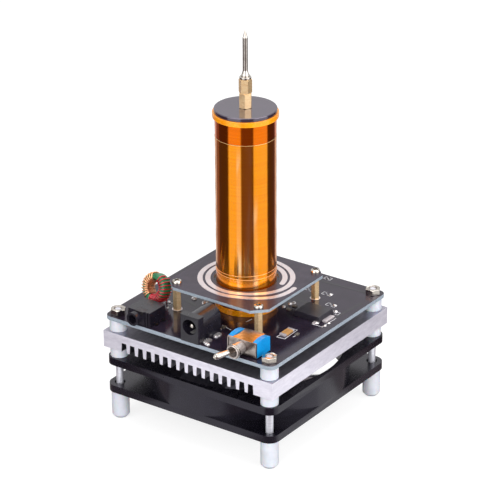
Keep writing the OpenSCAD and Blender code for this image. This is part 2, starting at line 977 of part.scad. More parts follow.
// Rounded end of the track, from angle a1 to a2 about its centre.
function track_end(t, a1, a2) =
    let (c = track_pt(t, 0), turn = track_start - t)
    [for (a = [a1 + end_step : end_step : a2 - end_step])
        c + track_w / 2 * [cos(a) * cos(turn) + sin(a) * sin(turn), cos(a) * sin(turn) - sin(a) * cos(turn)]];

module primary_track() {
    half = track_w / 2;
    color("whitesmoke")
    translate([0, 0, primary_top])
        linear_extrude(track_t)
            polygon(concat(
                [for (t = [0 : track_step : track_sweep]) track_pt(t, half)],
                track_end(track_sweep, 0, 180),
                [for (t = [track_sweep : -track_step : 0]) track_pt(t, -half)],
                track_end(0, 180, 360)
            ));
}

module primary_screws() {
    color("silver")
    translate([0, 0, primary_top])
        at_corners(standoff_spacing)
            pan_screw(screw_head_d / 2, screw_head_h, screw_r, primary_t + screw_in);
}

module coil_tube() {
    color("saddlebrown")
    translate([0, 0, board_top])
        sleeve(tube_r, tube_r - tube_wall, tube_h, wide_fn);
}

module coil_winding() {
    color("sienna")
    translate([0, 0, board_top + lower_band_h + winding_gap])
        sleeve(wire_r, tube_r + sleeve_fit, tube_h - lower_band_h - upper_band_h - 2 * winding_gap, wide_fn);
}

module coil_tape() {
    color("chocolate")
    translate([0, 0, board_top])
        sleeve(tape_r, wire_r + sleeve_fit, tube_h, wide_fn);
}

module lower_band() {
    color("orange")
    translate([0, 0, board_top])
        sleeve(band_r + lower_band_t, band_r, lower_band_h, wide_fn);
}

module upper_band() {
    color("orange")
    translate([0, 0, cap_z - upper_band_h])
        sleeve(band_r + upper_band_t, band_r, upper_band_h, wide_fn);
}

module cap_disc() {
    color("black")
    translate([0, 0, cap_z])
        rotate_extrude($fn = wide_fn)
            polygon([
                [cap_screw_r + hole_fit, 0],
                [cap_d / 2, 0],
                [cap_d / 2, cap_t - cap_edge],
                [cap_d / 2 - cap_edge, cap_t],
                [cap_screw_r + hole_fit, cap_t]
            ]);
}

// The cap's screw comes up from inside the tube into the lower post.
module cap_screw() {
    color("silver")
    translate([0, 0, cap_z])
        mirror([0, 0, 1])
            pan_screw(cap_screw_head_r, cap_screw_head_h, cap_screw_r, cap_t + cap_screw_in);
}

module lower_post() {
    color("goldenrod")
    translate([0, 0, cap_top])
        difference() {
            hex_bar(post_af, lower_post_h, post_edge);
            translate([0, 0, -over])
                cylinder(h = lower_post_h + 2 * over, r = cap_screw_r + thread_fit, $fn = small_fn);
        }
}

module upper_post() {
    color("goldenrod")
    translate([0, 0, upper_post_z])
        difference() {
            union() {
                rotate([0, 0, post_turn])
                    hex_bar(post_af, upper_post_h, post_edge);
                translate([0, 0, -post_stud_l])
                    cylinder(h = post_stud_l + post_edge, r = cap_screw_r, $fn = small_fn);
            }
            translate([0, 0, upper_post_h - needle_stud_l])
                cylinder(h = needle_stud_l + over, r = needle_stud_r + thread_fit, $fn = small_fn);
        }
}

module needle_collar() {
    color("lightgray")
    translate([0, 0, collar_z])
        rotate_extrude($fn = small_fn)
            polygon([
                [needle_stud_r + thread_fit, 0],
                [collar_d / 2 - collar_h / 5, 0],
                [collar_d / 2, collar_h / 5],
                [collar_d / 2, collar_h * 0.8],
                [collar_d / 2 - collar_h / 5, collar_h],
                [needle_stud_r + thread_fit, collar_h]
            ]);
}

module needle() {
    stem_r = needle_d / 2;
    flare_r = needle_flare_d / 2;
    color("gainsboro")
    translate([0, 0, collar_z + collar_h])
        rotate_extrude($fn = small_fn)
            polygon([
                [0, -collar_h - needle_stud_l + thread_fit],
                [needle_stud_r, -collar_h - needle_stud_l + thread_fit],
                [needle_stud_r, 0],
                [flare_r, 0],
                [flare_r, needle_flare_h * 0.2],
                [flare_r - (flare_r - stem_r) * 0.7, needle_flare_h * 0.55],
                [stem_r, needle_flare_h],
                [stem_r, needle_l - point_l],
                [stem_r * 0.8, needle_l - point_l * 0.85],
                [point_end_r, needle_l],
                [0, needle_l]
            ]);
}

module audio_socket() {
    color("#1c1c1f")
    translate([audio_x, audio_front_in - board_w / 2, board_top])
        difference() {
            union() {
                bevel_block(audio_w, audio_d, audio_h, audio_edge);
                translate([audio_nose_x, 0, audio_axis_h])
                    rotate([90, 0, 0])
                        cylinder(h = audio_nose_l, r = audio_nose_d / 2, $fn = round_fn);
            }
            translate([audio_nose_x, audio_bore_l - audio_nose_l, audio_axis_h])
                rotate([90, 0, 0])
                    cylinder(h = audio_bore_l + over, r = audio_bore_d / 2, $fn = round_fn);
            // Seat for the contact clip, over the top and down the front.
            translate([clip_x - clip_w / 2 - sleeve_fit, -over, audio_h - clip_t])
                cube([clip_w + 2 * sleeve_fit, clip_l + over + sleeve_fit, clip_t + over]);
            for (x = audio_groove_xs)
                translate([x - audio_groove_w / 2, -over, -over])
                    cube([audio_groove_w, audio_groove_in + over, audio_h + 2 * over]);
        }
}

module audio_contacts() {
    color("silver")
    translate([audio_x, audio_front_in - board_w / 2, board_top]) {
        // The clip's front leg is notched round the nose.
        difference() {
            translate([clip_x + clip_w / 2, 0, audio_h - clip_t])
                rotate([90, 0, -90])
                    linear_extrude(clip_w)
                        polygon([
                            [clip_t, -clip_drop],
                            [clip_t, clip_t],
                            [-clip_l, clip_t],
                            [-clip_l, 0],
                            [0, 0],
                            [0, -clip_drop]
                        ]);
            translate([audio_nose_x, over, audio_axis_h])
                rotate([90, 0, 0])
                    cylinder(h = audio_nose_l + over, r = audio_nose_d / 2 + clip_fit, $fn = round_fn);
        }
        for (side = [-1, 1], share = audio_lug_shares)
            translate([side * (audio_w + lug_out) / 2 - lug_out / 2, audio_d * share, 0])
                cube([lug_out, lug_w, lug_t]);
    }
}

module power_profile() {
    square([power_w, power_axis_h]);
    translate([power_w / 2, power_axis_h])
        circle(r = power_barrel_r, $fn = round_fn);
}

module power_socket() {
    color("#1c1c1f")
    translate([power_x, -power_overhang - board_w / 2, board_top])
        difference() {
            union() {
                bevel_block(power_w, power_collar_d, power_h, power_edge);
                translate([-power_w / 2, power_d, 0])
                    rotate([90, 0, 0])
                        linear_extrude(power_d - power_collar_d / 2)
                            power_profile();
            }
            translate([0, power_bore_l, power_axis_h])
                rotate([90, 0, 0])
                    cylinder(h = power_bore_l + over, r = power_bore_d / 2, $fn = round_fn);
            // Root of the centre pin.
            translate([0, power_bore_l + power_pin_root_l, power_axis_h])
                rotate([90, 0, 0])
                    cylinder(h = power_pin_root_l + over, r = power_pin_d / 2 + sleeve_fit, $fn = small_fn);
            // Slot of the leaf that presses on the plug from below.
            translate([-leaf_w / 2 - sleeve_fit, leaf_in - sleeve_fit, power_axis_h - power_bore_d / 2 - leaf_t])
                cube([leaf_w + 2 * sleeve_fit, power_bore_l - leaf_in, power_bore_d / 2]);
            for (side = [-1, 1])
                translate([side * power_w / 2 - power_notch_w / 2, power_collar_d, -over])
                    cube([power_notch_w, power_notch_d, power_notch_h + over]);
        }
}

module power_pin() {
    pin_r = power_pin_d / 2;
    color("gainsboro")
    translate([power_x, power_bore_l + power_pin_root_l - power_overhang - board_w / 2, board_top + power_axis_h])
        rotate([90, 0, 0])
            rotate_extrude($fn = small_fn)
                polygon([
                    [0, 0],
                    [pin_r, 0],
                    [pin_r, power_bore_l + power_pin_root_l - power_pin_in - pin_r / 2],
                    [pin_r * 0.8, power_bore_l + power_pin_root_l - power_pin_in - pin_r / 8],
                    [pin_r * 0.4, power_bore_l + power_pin_root_l - power_pin_in],
                    [0, power_bore_l + power_pin_root_l - power_pin_in]
                ]);
}

module power_lugs() {
    color("silver")
    translate([power_x, -power_overhang - board_w / 2, board_top]) {
        for (share = power_lug_shares)
            translate([power_w / 2, power_d * share, 0])
                cube([power_lug_w, power_lug_l, power_lug_h]);
        translate([-rear_lug_w / 2, power_d, 0])
            cube([rear_lug_w, rear_lug_d, power_lug_h]);
        translate([-leaf_w / 2, leaf_in, power_axis_h - power_bore_d / 2 - leaf_t])
            cube([leaf_w, power_bore_l - leaf_in - sleeve_fit, leaf_t]);
    }
}

// Side view of the switch's cheek: a block with a slightly arched top.
module cheek_outline(depth, h, rise) {
    arch_r = (depth * depth / 4 + rise * rise) / (2 * rise);
    square([depth, h]);
    intersection() {
        translate([0, h - over])
            square([depth, rise + over]);
        translate([depth / 2, h + rise - arch_r])
            circle(r = arch_r, $fn = wide_fn);
    }
}

module switch_place() {
    translate([switch_x, switch_front_in - board_w / 2, board_top + switch_lift])
        children();
}

module switch_body() {
    cheek_w = (switch_w - bracket_w) / 2 - cheek_slit;
    body_d = switch_d - bracket_t;
    color("dodgerblue")
    switch_place()
        translate([0, bracket_t, 0]) {
            for (side = [0, 1])
                mirror([side, 0, 0])
                    translate([switch_w / 2 - cheek_w, 0, 0])
                        rotate([90, 0, 90])
                            linear_extrude(cheek_w)
                                cheek_outline(body_d, switch_h - bracket_t, cheek_rise);
            translate([-switch_w / 2 + cheek_w / 2, 0, bracket_t])
                cube([switch_w - cheek_w, body_d, switch_h - 2 * bracket_t]);
        }
}

module switch_bracket() {
    color("silver")
    switch_place() {
        // Front plate, with the rim that is folded forward at both ends.
        translate([-switch_w / 2, 0, 0])
            cube([switch_w, bracket_t, switch_h]);
        for (side = [0, 1])
            mirror([side, 0, 0])
                translate([switch_w / 2 - face_rim / 2, -bracket_t, face_rim / 2])
                    cube([face_rim / 2, bracket_t, switch_h - face_rim]);
        translate([-bracket_w / 2, 0, switch_h - bracket_t])
            cube([bracket_w, switch_d, bracket_t]);
        translate([-bracket_w / 2, 0, 0])
            cube([bracket_w, switch_d, bracket_t]);
        // Legs that stand on the board.
        for (side = [-1, 1], y = [leg_in, switch_d - leg_in - leg_w])
            translate([side * (bracket_w / 2 - leg_w) - leg_w / 2, y, -switch_lift])
                cube([leg_w, leg_w, switch_lift]);
    }
}

module switch_bushing() {
    color("lightgray")
    switch_place()
        translate([bushing_x, 0, bushing_h])
            rotate([90, 0, 0])
                rotate_extrude($fn = round_fn)
                    polygon([
                        [0, 0],
                        [bushing_d / 2, 0],
                        [bushing_d / 2, bushing_l],
                        [bushing_mouth_d / 2, bushing_l],
                        [bushing_bore_d / 2, bushing_l - pivot_in + ball_r * 0.6],
                        [bushing_bore_d / 2, bushing_floor],
                        [0, bushing_floor]
                    ]);
}

module switch_ring() {
    color("silver")
    switch_place()
        translate([bushing_x, ring_in + ring_len - bushing_l, bushing_h])
            rotate([90, 0, 0])
                sleeve(ring_over_d / 2, bushing_d / 2 + sleeve_fit, ring_len, round_fn);
}

module switch_lever() {
    end_r = lever_d / 2;
    reach = pivot_in + lever_l;
    color("gainsboro")
    switch_place()
        translate([bushing_x, pivot_in - bushing_l, bushing_h]) {
            // Upright cross pin through the ball: the lever swings about it.
            translate([0, 0, run_fit - bushing_bore_d / 2])
                cylinder(h = bushing_bore_d - 2 * run_fit, r = cross_pin_d / 2, $fn = small_fn);
            rotate([90, 0, -lever_lean]) {
                sphere(r = ball_r, $fn = small_fn);
                rotate_extrude($fn = round_fn)
                    polygon([
                        [0, 0],
                        [neck_d / 2, 0],
                        [neck_d / 2, neck_l],
                        [end_r * 0.8, neck_l + lever_l * 0.2],
                        [end_r, reach - end_r],
                        [end_r * 0.87, reach - end_r / 2],
                        [end_r * 0.6, reach - end_r * 0.1],
                        [lever_dimple_d / 2, reach],
                        [0, reach - lever_dimple_h]
                    ]);
            }
        }
}

// Three terminals leave the back of the body and bend down to the board.
module switch_pins() {
    color("silver")
    switch_place()
        for (k = [-1, 0, 1])
            translate([k * pin_pitch + pin_w / 2, switch_d, 0])
                rotate([90, 0, -90])
                    linear_extrude(pin_w)
                        polygon([
                            [0, pin_rise],
                            [0, pin_rise - pin_t],
                            [pin_t - pin_back, pin_rise - pin_t],
                            [pin_t - pin_back, -switch_lift],
                            [-pin_back, -switch_lift],
                            [-pin_back, pin_rise]
                        ]);
}

// Choke: a ring core with two windings, each one unbroken tube.
wire_r_choke = choke_wire_d / 2;
choke_out = ring_d / 2 + wire_lift + choke_wire_d;
choke_z = board_top + choke_seat + choke_out * cos(choke_tilt) + (ring_t / 2 + choke_wire_d) * sin(choke_tilt);
loop_half_r = (ring_d - ring_hole_d) / 4 + wire_lift + wire_r_choke;
loop_half_h = ring_t / 2 + wire_lift + wire_r_choke;
loop_corner = ring_edge + wire_lift + wire_r_choke;
loop_mid = (ring_d + ring_hole_d) / 4;

module choke_place() {
    translate([choke_x, choke_y, choke_z])
        rotate([0, 0, choke_turn])
            rotate([90 - choke_tilt, 0, 0])
                children();
}

module choke_core() {
    inner = ring_hole_d / 2;
    outer = ring_d / 2;
    half = ring_t / 2;
    color("seagreen")
    choke_place()
        rotate_extrude($fn = wide_fn)
            polygon([
                [inner + ring_edge, -half],
                [outer - ring_edge, -half],
                [outer, ring_edge - half],
                [outer, half - ring_edge],
                [outer - ring_edge, half],
                [inner + ring_edge, half],
                [inner, half - ring_edge],
                [inner, ring_edge - half]
            ]);
}

// A point at share q of the way round the rounded section of one loop,
// from the middle of the outer side towards +Z.
function loop_len() = 4 * (loop_half_r + loop_half_h - 2 * loop_corner) + 2 * PI * loop_corner;
function loop_walk(d, k) =
    let (
        sides = [loop_half_h - loop_corner, loop_half_r - loop_corner],
        side = k == 0 || k == 4 ? sides[0] : k % 2 == 0 ? 2 * sides[0] : 2 * sides[1],
        turn = PI * loop_corner / 2
    )
    d <= side ? [k, d, 0] : d <= side + turn ? [k, side, (d - side) / turn * 90] : loop_walk(d - side - turn, k + 1);
function loop_pt(q) =
    let (
        w = loop_walk((q - floor(q)) * loop_len(), 0),
        a = loop_half_r - loop_corner,
        b = loop_half_h - loop_corner,
        s = w[1],
        t = w[2],
        c = loop_corner
    )
    w[0] == 0 ? (t == 0 ? [a + c, s] : [a + c * cos(t), b + c * sin(t)])
    : w[0] == 1 ? (t == 0 ? [a - s, b + c] : [-a - c * sin(t), b + c * cos(t)])
    : w[0] == 2 ? (t == 0 ? [-a - c, b - s] : [-a - c * cos(t), -b - c * sin(t)])
    : w[0] == 3 ? (t == 0 ? [s - a, -b - c] : [a + c * sin(t), -b - c * cos(t)])
    : [a + c, s - b];

// Route of a winding: a lead up from the board, the turns, and a lead that
// leaves the hole at the back and runs down to the board.
function wind_pt(q, start, step) =
    let (p = loop_pt(q), a = start + step * q)
    [(loop_mid + p[0]) * cos(a), (loop_mid + p[0]) * sin(a), p[1]];
function turn_x(p, a) = [p[0], p[1] * cos(a) - p[2] * sin(a), p[1] * sin(a) + p[2] * cos(a)];
function turn_z(p, a) = [p[0] * cos(a) - p[1] * sin(a), p[0] * sin(a) + p[1] * cos(a), p[2]];
function choke_dir(p) = turn_z(turn_x(p, 90 - choke_tilt), choke_turn);
function choke_world(p) = choke_dir(p) + [choke_x, choke_y, choke_z];
function curve_pt(p, t) =
    pow(1 - t, 3) * p[0] + 3 * t * pow(1 - t, 2) * p[1] + 3 * t * t * (1 - t) * p[2] + t * t * t * p[3];
function curve(p, first, last) = [for (i = [first : last]) curve_pt(p, i / lead_ring_count)];
function on_board(p) = [p[0], p[1], board_top];
function wind_route(start, step, turns) =
    let (
        ahead = choke_dir([0, 0, 1]),
        first = choke_world(wind_pt(0, start, step)),
        foot = on_board(first - lead_foot_back * ahead),
        end_q = turns - wind_end_share,
        last = choke_world(wind_pt(end_q, start, step)),
        back = choke_world([lead_in_share * wind_pt(end_q, start, step)[0], -choke_out, -loop_half_h - lead_out]),
        drop = on_board(back)
    )
    concat(
        curve([foot, foot + [0, 0, lead_rise], first - lead_bend * ahead, first], 0, lead_ring_count - 1),
        [for (i = [0 : floor(end_q * loop_ring_count)]) choke_world(wind_pt(i / loop_ring_count, start, step))],
        curve([last, last - lead_back * ahead, drop + [0, 0, lead_drop + ring_d / 2], drop], 1, lead_ring_count)
    );
function unit(v) = v / norm(v);
function route_dir(route, i) =
    unit(route[min(i + 1, len(route) - 1)] - route[max(i - 1, 0)]);
function side_step(n, d) = unit(n - (n * d) * d);
function side_first(d) = side_step(abs(d[2]) < 0.7 ? [0, 0, 1] : [1, 0, 0], d);
function route_sides(route) =
    [for (i = 0, n = side_first(route_dir(route, 0)); i < len(route);
        i = i + 1, n = i < len(route) ? side_step(n, route_dir(route, i)) : n) n];

// One tube along a route of points.
module tube_along(route, r, sides) {
    n = len(route);
    normals = route_sides(route);
    rings = [for (i = [0 : n - 1], k = [0 : sides - 1])
        let (d = route_dir(route, i), u = normals[i], v = cross(d, u), a = k * 360 / sides)
        route[i] + r * (cos(a) * u + sin(a) * v)];
    skin = [for (i = [0 : n - 2], k = [0 : sides - 1], h = [0, 1])
        let (a = i * sides + k, b = i * sides + (k + 1) % sides, c = a + sides, e = b + sides)
        h == 0 ? [a, c, e] : [a, e, b]];
    first = [for (k = [1 : sides - 2]) [0, k, k + 1]];
    last = [for (k = [1 : sides - 2]) [(n - 1) * sides, (n - 1) * sides + k + 1, (n - 1) * sides + k]];
    polyhedron(points = rings, faces = concat(skin, first, last));
}

// Least gap of a winding to itself, over points half a loop or more apart.
function wire_gap(route) =
    min([for (i = [0 : len(route) - 1])
        let (far = [for (j = [i + loop_ring_count / 2 : len(route) - 1]) norm(route[i] - route[j])])
        len(far) > 0 ? min(far) : norm(route[0] - route[len(route) - 1])]) - choke_wire_d;

module choke_red() {
    route = wind_route(red_start, red_step, red_turns);
    echo(str("least gap of the red winding to itself: ", wire_gap(route)));
    color("crimson")
    tube_along(route, wire_r_choke, wire_side_count);
}

module choke_copper() {
    route = wind_route(copper_start, copper_step, copper_turns);
    echo(str("least gap of the copper winding to itself: ", wire_gap(route)));
    color("peru")
    tube_along(route, wire_r_choke, wire_side_count);
}

module power_package() {
    color("#1c1c1f")
    translate([package_x, package_y + package_d / 2, board_top])
        rotate([90, 0, 0])
            linear_extrude(package_d)
                polygon([
                    [-package_w / 2, 0],
                    [package_w / 2, 0],
                    [package_w / 2, package_h * 0.55],
                    [package_w / 2 - package_edge, package_h],
                    [package_edge - package_w / 2, package_h],
                    [-package_w / 2, package_h * 0.55]
                ]);
}

module package_leads() {
    color("silver")
    translate([package_x, package_y, board_top]) {
        translate([package_w / 2, -tab_w / 2, 0])
            cube([tab_l, tab_w, tab_t]);
        for (side = [-1, 1])
            translate([package_w * lead_share - lead_w / 2, side * (package_d + lead_l) / 2 - lead_l / 2, 0])
                cube([lead_w, lead_l, lead_t]);
    }
}

module chip() {
    color("wheat")
    translate([chip_x, chip_y, board_top])
        translate([-chip_w / 2, chip_end_l - chip_l / 2, 0])
            cube([chip_w, chip_l - 2 * chip_end_l, chip_h]);
}

module chip_ends() {
    color("silver")
    translate([chip_x, chip_y, board_top])
        for (side = [0, 1])
            mirror([0, side, 0])
                translate([-chip_w / 2, chip_l / 2 - chip_end_l, 0])
                    cube([chip_w, chip_end_l, chip_h + chip_end_over]);
}

module small_parts() {
    color("dimgray")
    translate([0, 0, board_top])
        for (g = grain_shares)
            translate([g[0] * board_w / 2, g[1] * board_w / 2, 0])
                rotate([0, 0, g[2]])
                    translate([-grain_l / 2, -grain_w / 2, 0])
                        cube([grain_l, grain_w, grain_h]);
}

feet();
clamp_studs();
fan_frame();
fan_bearing();
fan_stator();
fan_coils();
fan_circuit();
fan_rotor();
fan_yoke();
fan_magnet();
fan_shaft();
lower_spacers();
heat_sink();
upper_spacers();
main_board();
board_nuts();
board_pads();
board_standoffs();
board_screws();
primary_board();
primary_track();
primary_screws();
coil_tube();
coil_winding();
coil_tape();
lower_band();
upper_band();
cap_disc();
cap_screw();
lower_post();
upper_post();
needle_collar();
needle();
audio_socket();
audio_contacts();
power_socket();
power_pin();
power_lugs();
switch_body();
switch_bracket();
switch_bushing();
switch_ring();
switch_lever();
switch_pins();
choke_core();
choke_red();
choke_copper();
power_package();
package_leads();
chip();
chip_ends();
small_parts();
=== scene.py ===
import bpy
import bmesh
import json
import math
from mathutils import Vector, Matrix


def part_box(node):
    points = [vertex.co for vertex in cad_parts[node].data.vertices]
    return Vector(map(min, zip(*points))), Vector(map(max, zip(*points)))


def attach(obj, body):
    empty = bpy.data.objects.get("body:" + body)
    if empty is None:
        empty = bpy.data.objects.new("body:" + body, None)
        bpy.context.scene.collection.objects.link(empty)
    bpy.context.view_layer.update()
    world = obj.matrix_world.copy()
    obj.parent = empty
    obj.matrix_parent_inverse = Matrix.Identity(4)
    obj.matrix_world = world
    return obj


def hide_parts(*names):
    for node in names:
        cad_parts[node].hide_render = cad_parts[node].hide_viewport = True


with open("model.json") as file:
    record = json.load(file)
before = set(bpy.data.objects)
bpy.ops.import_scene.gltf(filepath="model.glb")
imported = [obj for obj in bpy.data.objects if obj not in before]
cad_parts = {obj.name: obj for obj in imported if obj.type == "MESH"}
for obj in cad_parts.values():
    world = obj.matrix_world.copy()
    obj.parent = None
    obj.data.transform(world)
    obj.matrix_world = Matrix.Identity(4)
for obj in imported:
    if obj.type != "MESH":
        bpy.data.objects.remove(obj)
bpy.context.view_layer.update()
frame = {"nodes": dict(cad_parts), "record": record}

cadNodes = frame["nodes"]
bodyOfNode = {n: b for b, group in frame["record"]["behaviour"]["bodies"].items() for n in group}
mm = 0.001
corners = [(-1, -1), (1, -1), (1, 1), (-1, 1)]
print("stage: frame loaded,", len(cadNodes), "nodes")

# Camera, placed as the photograph was taken.
shot = {
    "turn": 35.282, "height": 24.657, "away": 983.272, "roll": 0.265,
    "aimRight": 1.451, "aimUp": -11.143, "aimZ": 80.0, "lens": 183.51,
}


def cameraAxes():
    turn, height = math.radians(shot["turn"]), math.radians(shot["height"])
    back = Vector((math.sin(turn) * math.cos(height), -math.cos(turn) * math.cos(height), math.sin(height)))
    right = Vector((math.cos(turn), math.sin(turn), 0))
    return back, right, back.cross(right)


back, right, up = cameraAxes()
aim = Vector((0, 0, shot["aimZ"])) + right * shot["aimRight"] + up * shot["aimUp"]
roll = math.radians(shot["roll"])
rolledRight = right * math.cos(roll) - up * math.sin(roll)
rolledUp = right * math.sin(roll) + up * math.cos(roll)
cameraData = bpy.data.cameras.new("shotCamera")
cameraData.sensor_fit = "HORIZONTAL"
cameraData.sensor_width = 36
cameraData.lens = shot["lens"]
cameraData.clip_start = 0.01
cameraData.clip_end = 20
cameraObject = bpy.data.objects.new("shotCamera", cameraData)
bpy.context.scene.collection.objects.link(cameraObject)
place = Matrix((rolledRight, rolledUp, back)).transposed().to_4x4()
place.translation = (aim + back * shot["away"]) * mm
cameraObject.matrix_world = place
bpy.context.scene.camera = cameraObject
flatBack = Vector((back.x, back.y, 0)).normalized()


def floorWay(turn):
    # A way along the floor, turned so many degrees to the right of the photograph's side.
    angle = math.radians(turn)
    return flatBack * math.cos(angle) + right * math.sin(angle)


# Finishes. Colours are written as 0 to 255, as a picture shows them.


def tone(red, green, blue):
    def straight(level):
        level = level / 255
        return level / 12.92 if level <= 0.04045 else ((level + 0.055) / 1.055) ** 2.4
    return (straight(red), straight(green), straight(blue), 1)


def addNode(tree, kind, **values):
    node = tree.nodes.new(kind)
    for key, value in values.items():
        setattr(node, key, value)
    return node


def feed(tree, socket, value):
    # Another node's socket is linked, anything else is set.
    if isinstance(value, bpy.types.NodeSocket):
        tree.links.new(value, socket)
    else:
        socket.default_value = value


def mathNode(tree, operation, first, second):
    node = addNode(tree, "ShaderNodeMath", operation=operation)
    feed(tree, node.inputs[0], first)
    feed(tree, node.inputs[1], second)
    return node.outputs[0]


def vectorNode(tree, operation, value, other=(0, 0, 0)):
    node = addNode(tree, "ShaderNodeVectorMath", operation=operation)
    feed(tree, node.inputs[0], value)
    feed(tree, node.inputs[1], other)
    return node.outputs["Value" if operation in ("DOT_PRODUCT", "LENGTH") else "Vector"]


def rangeNode(tree, value, fromLow, fromHigh, toLow, toHigh, ease="SMOOTHSTEP"):
    node = addNode(tree, "ShaderNodeMapRange", interpolation_type=ease)
    for socket, level in zip(("From Min", "From Max", "To Min", "To Max"), (fromLow, fromHigh, toLow, toHigh)):
        node.inputs[socket].default_value = level
    tree.links.new(value, node.inputs["Value"])
    return node.outputs["Result"]


def colourMix(tree, share, first, second):
    node = addNode(tree, "ShaderNodeMix", data_type="RGBA")
    feed(tree, node.inputs[0], share)
    feed(tree, node.inputs[6], first)
    feed(tree, node.inputs[7], second)
    return node.outputs[2]


def placeNode(tree, stretch=None):
    # Object coordinates, scaled along the axes where a stretch is given.
    where = addNode(tree, "ShaderNodeTexCoord").outputs["Object"]
    if stretch is None:
        return where
    spread = addNode(tree, "ShaderNodeMapping")
    spread.inputs["Scale"].default_value = stretch
    tree.links.new(where, spread.inputs["Vector"])
    return spread.outputs["Vector"]


def noiseNode(tree, place, **values):
    node = addNode(tree, "ShaderNodeTexNoise")
    tree.links.new(place, node.inputs["Vector"])
    for name, value in values.items():
        node.inputs[name.capitalize()].default_value = value
    return node.outputs[0]


def bumpNode(tree, height, strength, distance, normal=None):
    node = addNode(tree, "ShaderNodeBump")
    node.inputs["Strength"].default_value = strength
    node.inputs["Distance"].default_value = distance
    tree.links.new(height, node.inputs["Height"])
    if normal is not None:
        tree.links.new(normal, node.inputs["Normal"])
    return node.outputs["Normal"]


# Words for the shader's other sockets.
socketNames = {
    "ior": "IOR", "tint": "Specular Tint", "coat": "Coat Weight", "coatRough": "Coat Roughness",
    "coatIor": "Coat IOR", "subsurface": "Subsurface Weight", "subsurfaceReach": "Subsurface Scale",
}


def makeFinish(name, light, dark, rough=(0.3, 0.45), metal=0.0, grain=350.0, stretch=(1, 1, 1), relief=0.1,
               reliefSize=2500.0, reliefDepth=0.00002, blotch=0.5, **others):
    # Clouded colour, and one finer noise for both the roughness and the relief.
    finish = bpy.data.materials.new(name)
    finish.use_nodes = True
    tree = finish.node_tree
    shader = tree.nodes["Principled BSDF"]
    place = placeNode(tree, stretch)
    ramp = addNode(tree, "ShaderNodeValToRGB")
    ends = ramp.color_ramp.elements
    for end, colour, side in ((ends[0], dark, -1), (ends[1], light, 1)):
        end.position = 0.5 + side * blotch * 0.4
        end.color = tone(*colour)
    tree.links.new(noiseNode(tree, place, scale=grain, detail=5, roughness=0.6), ramp.inputs["Fac"])
    tree.links.new(ramp.outputs["Color"], shader.inputs["Base Color"])
    fine = noiseNode(tree, place, scale=reliefSize, detail=3)
    tree.links.new(rangeNode(tree, fine, 0.3, 0.7, rough[0], rough[1], "LINEAR"), shader.inputs["Roughness"])
    tree.links.new(bumpNode(tree, fine, relief, reliefDepth), shader.inputs["Normal"])
    shader.inputs["Metallic"].default_value = metal
    for word, value in others.items():
        shader.inputs[socketNames[word]].default_value = value
    return finish


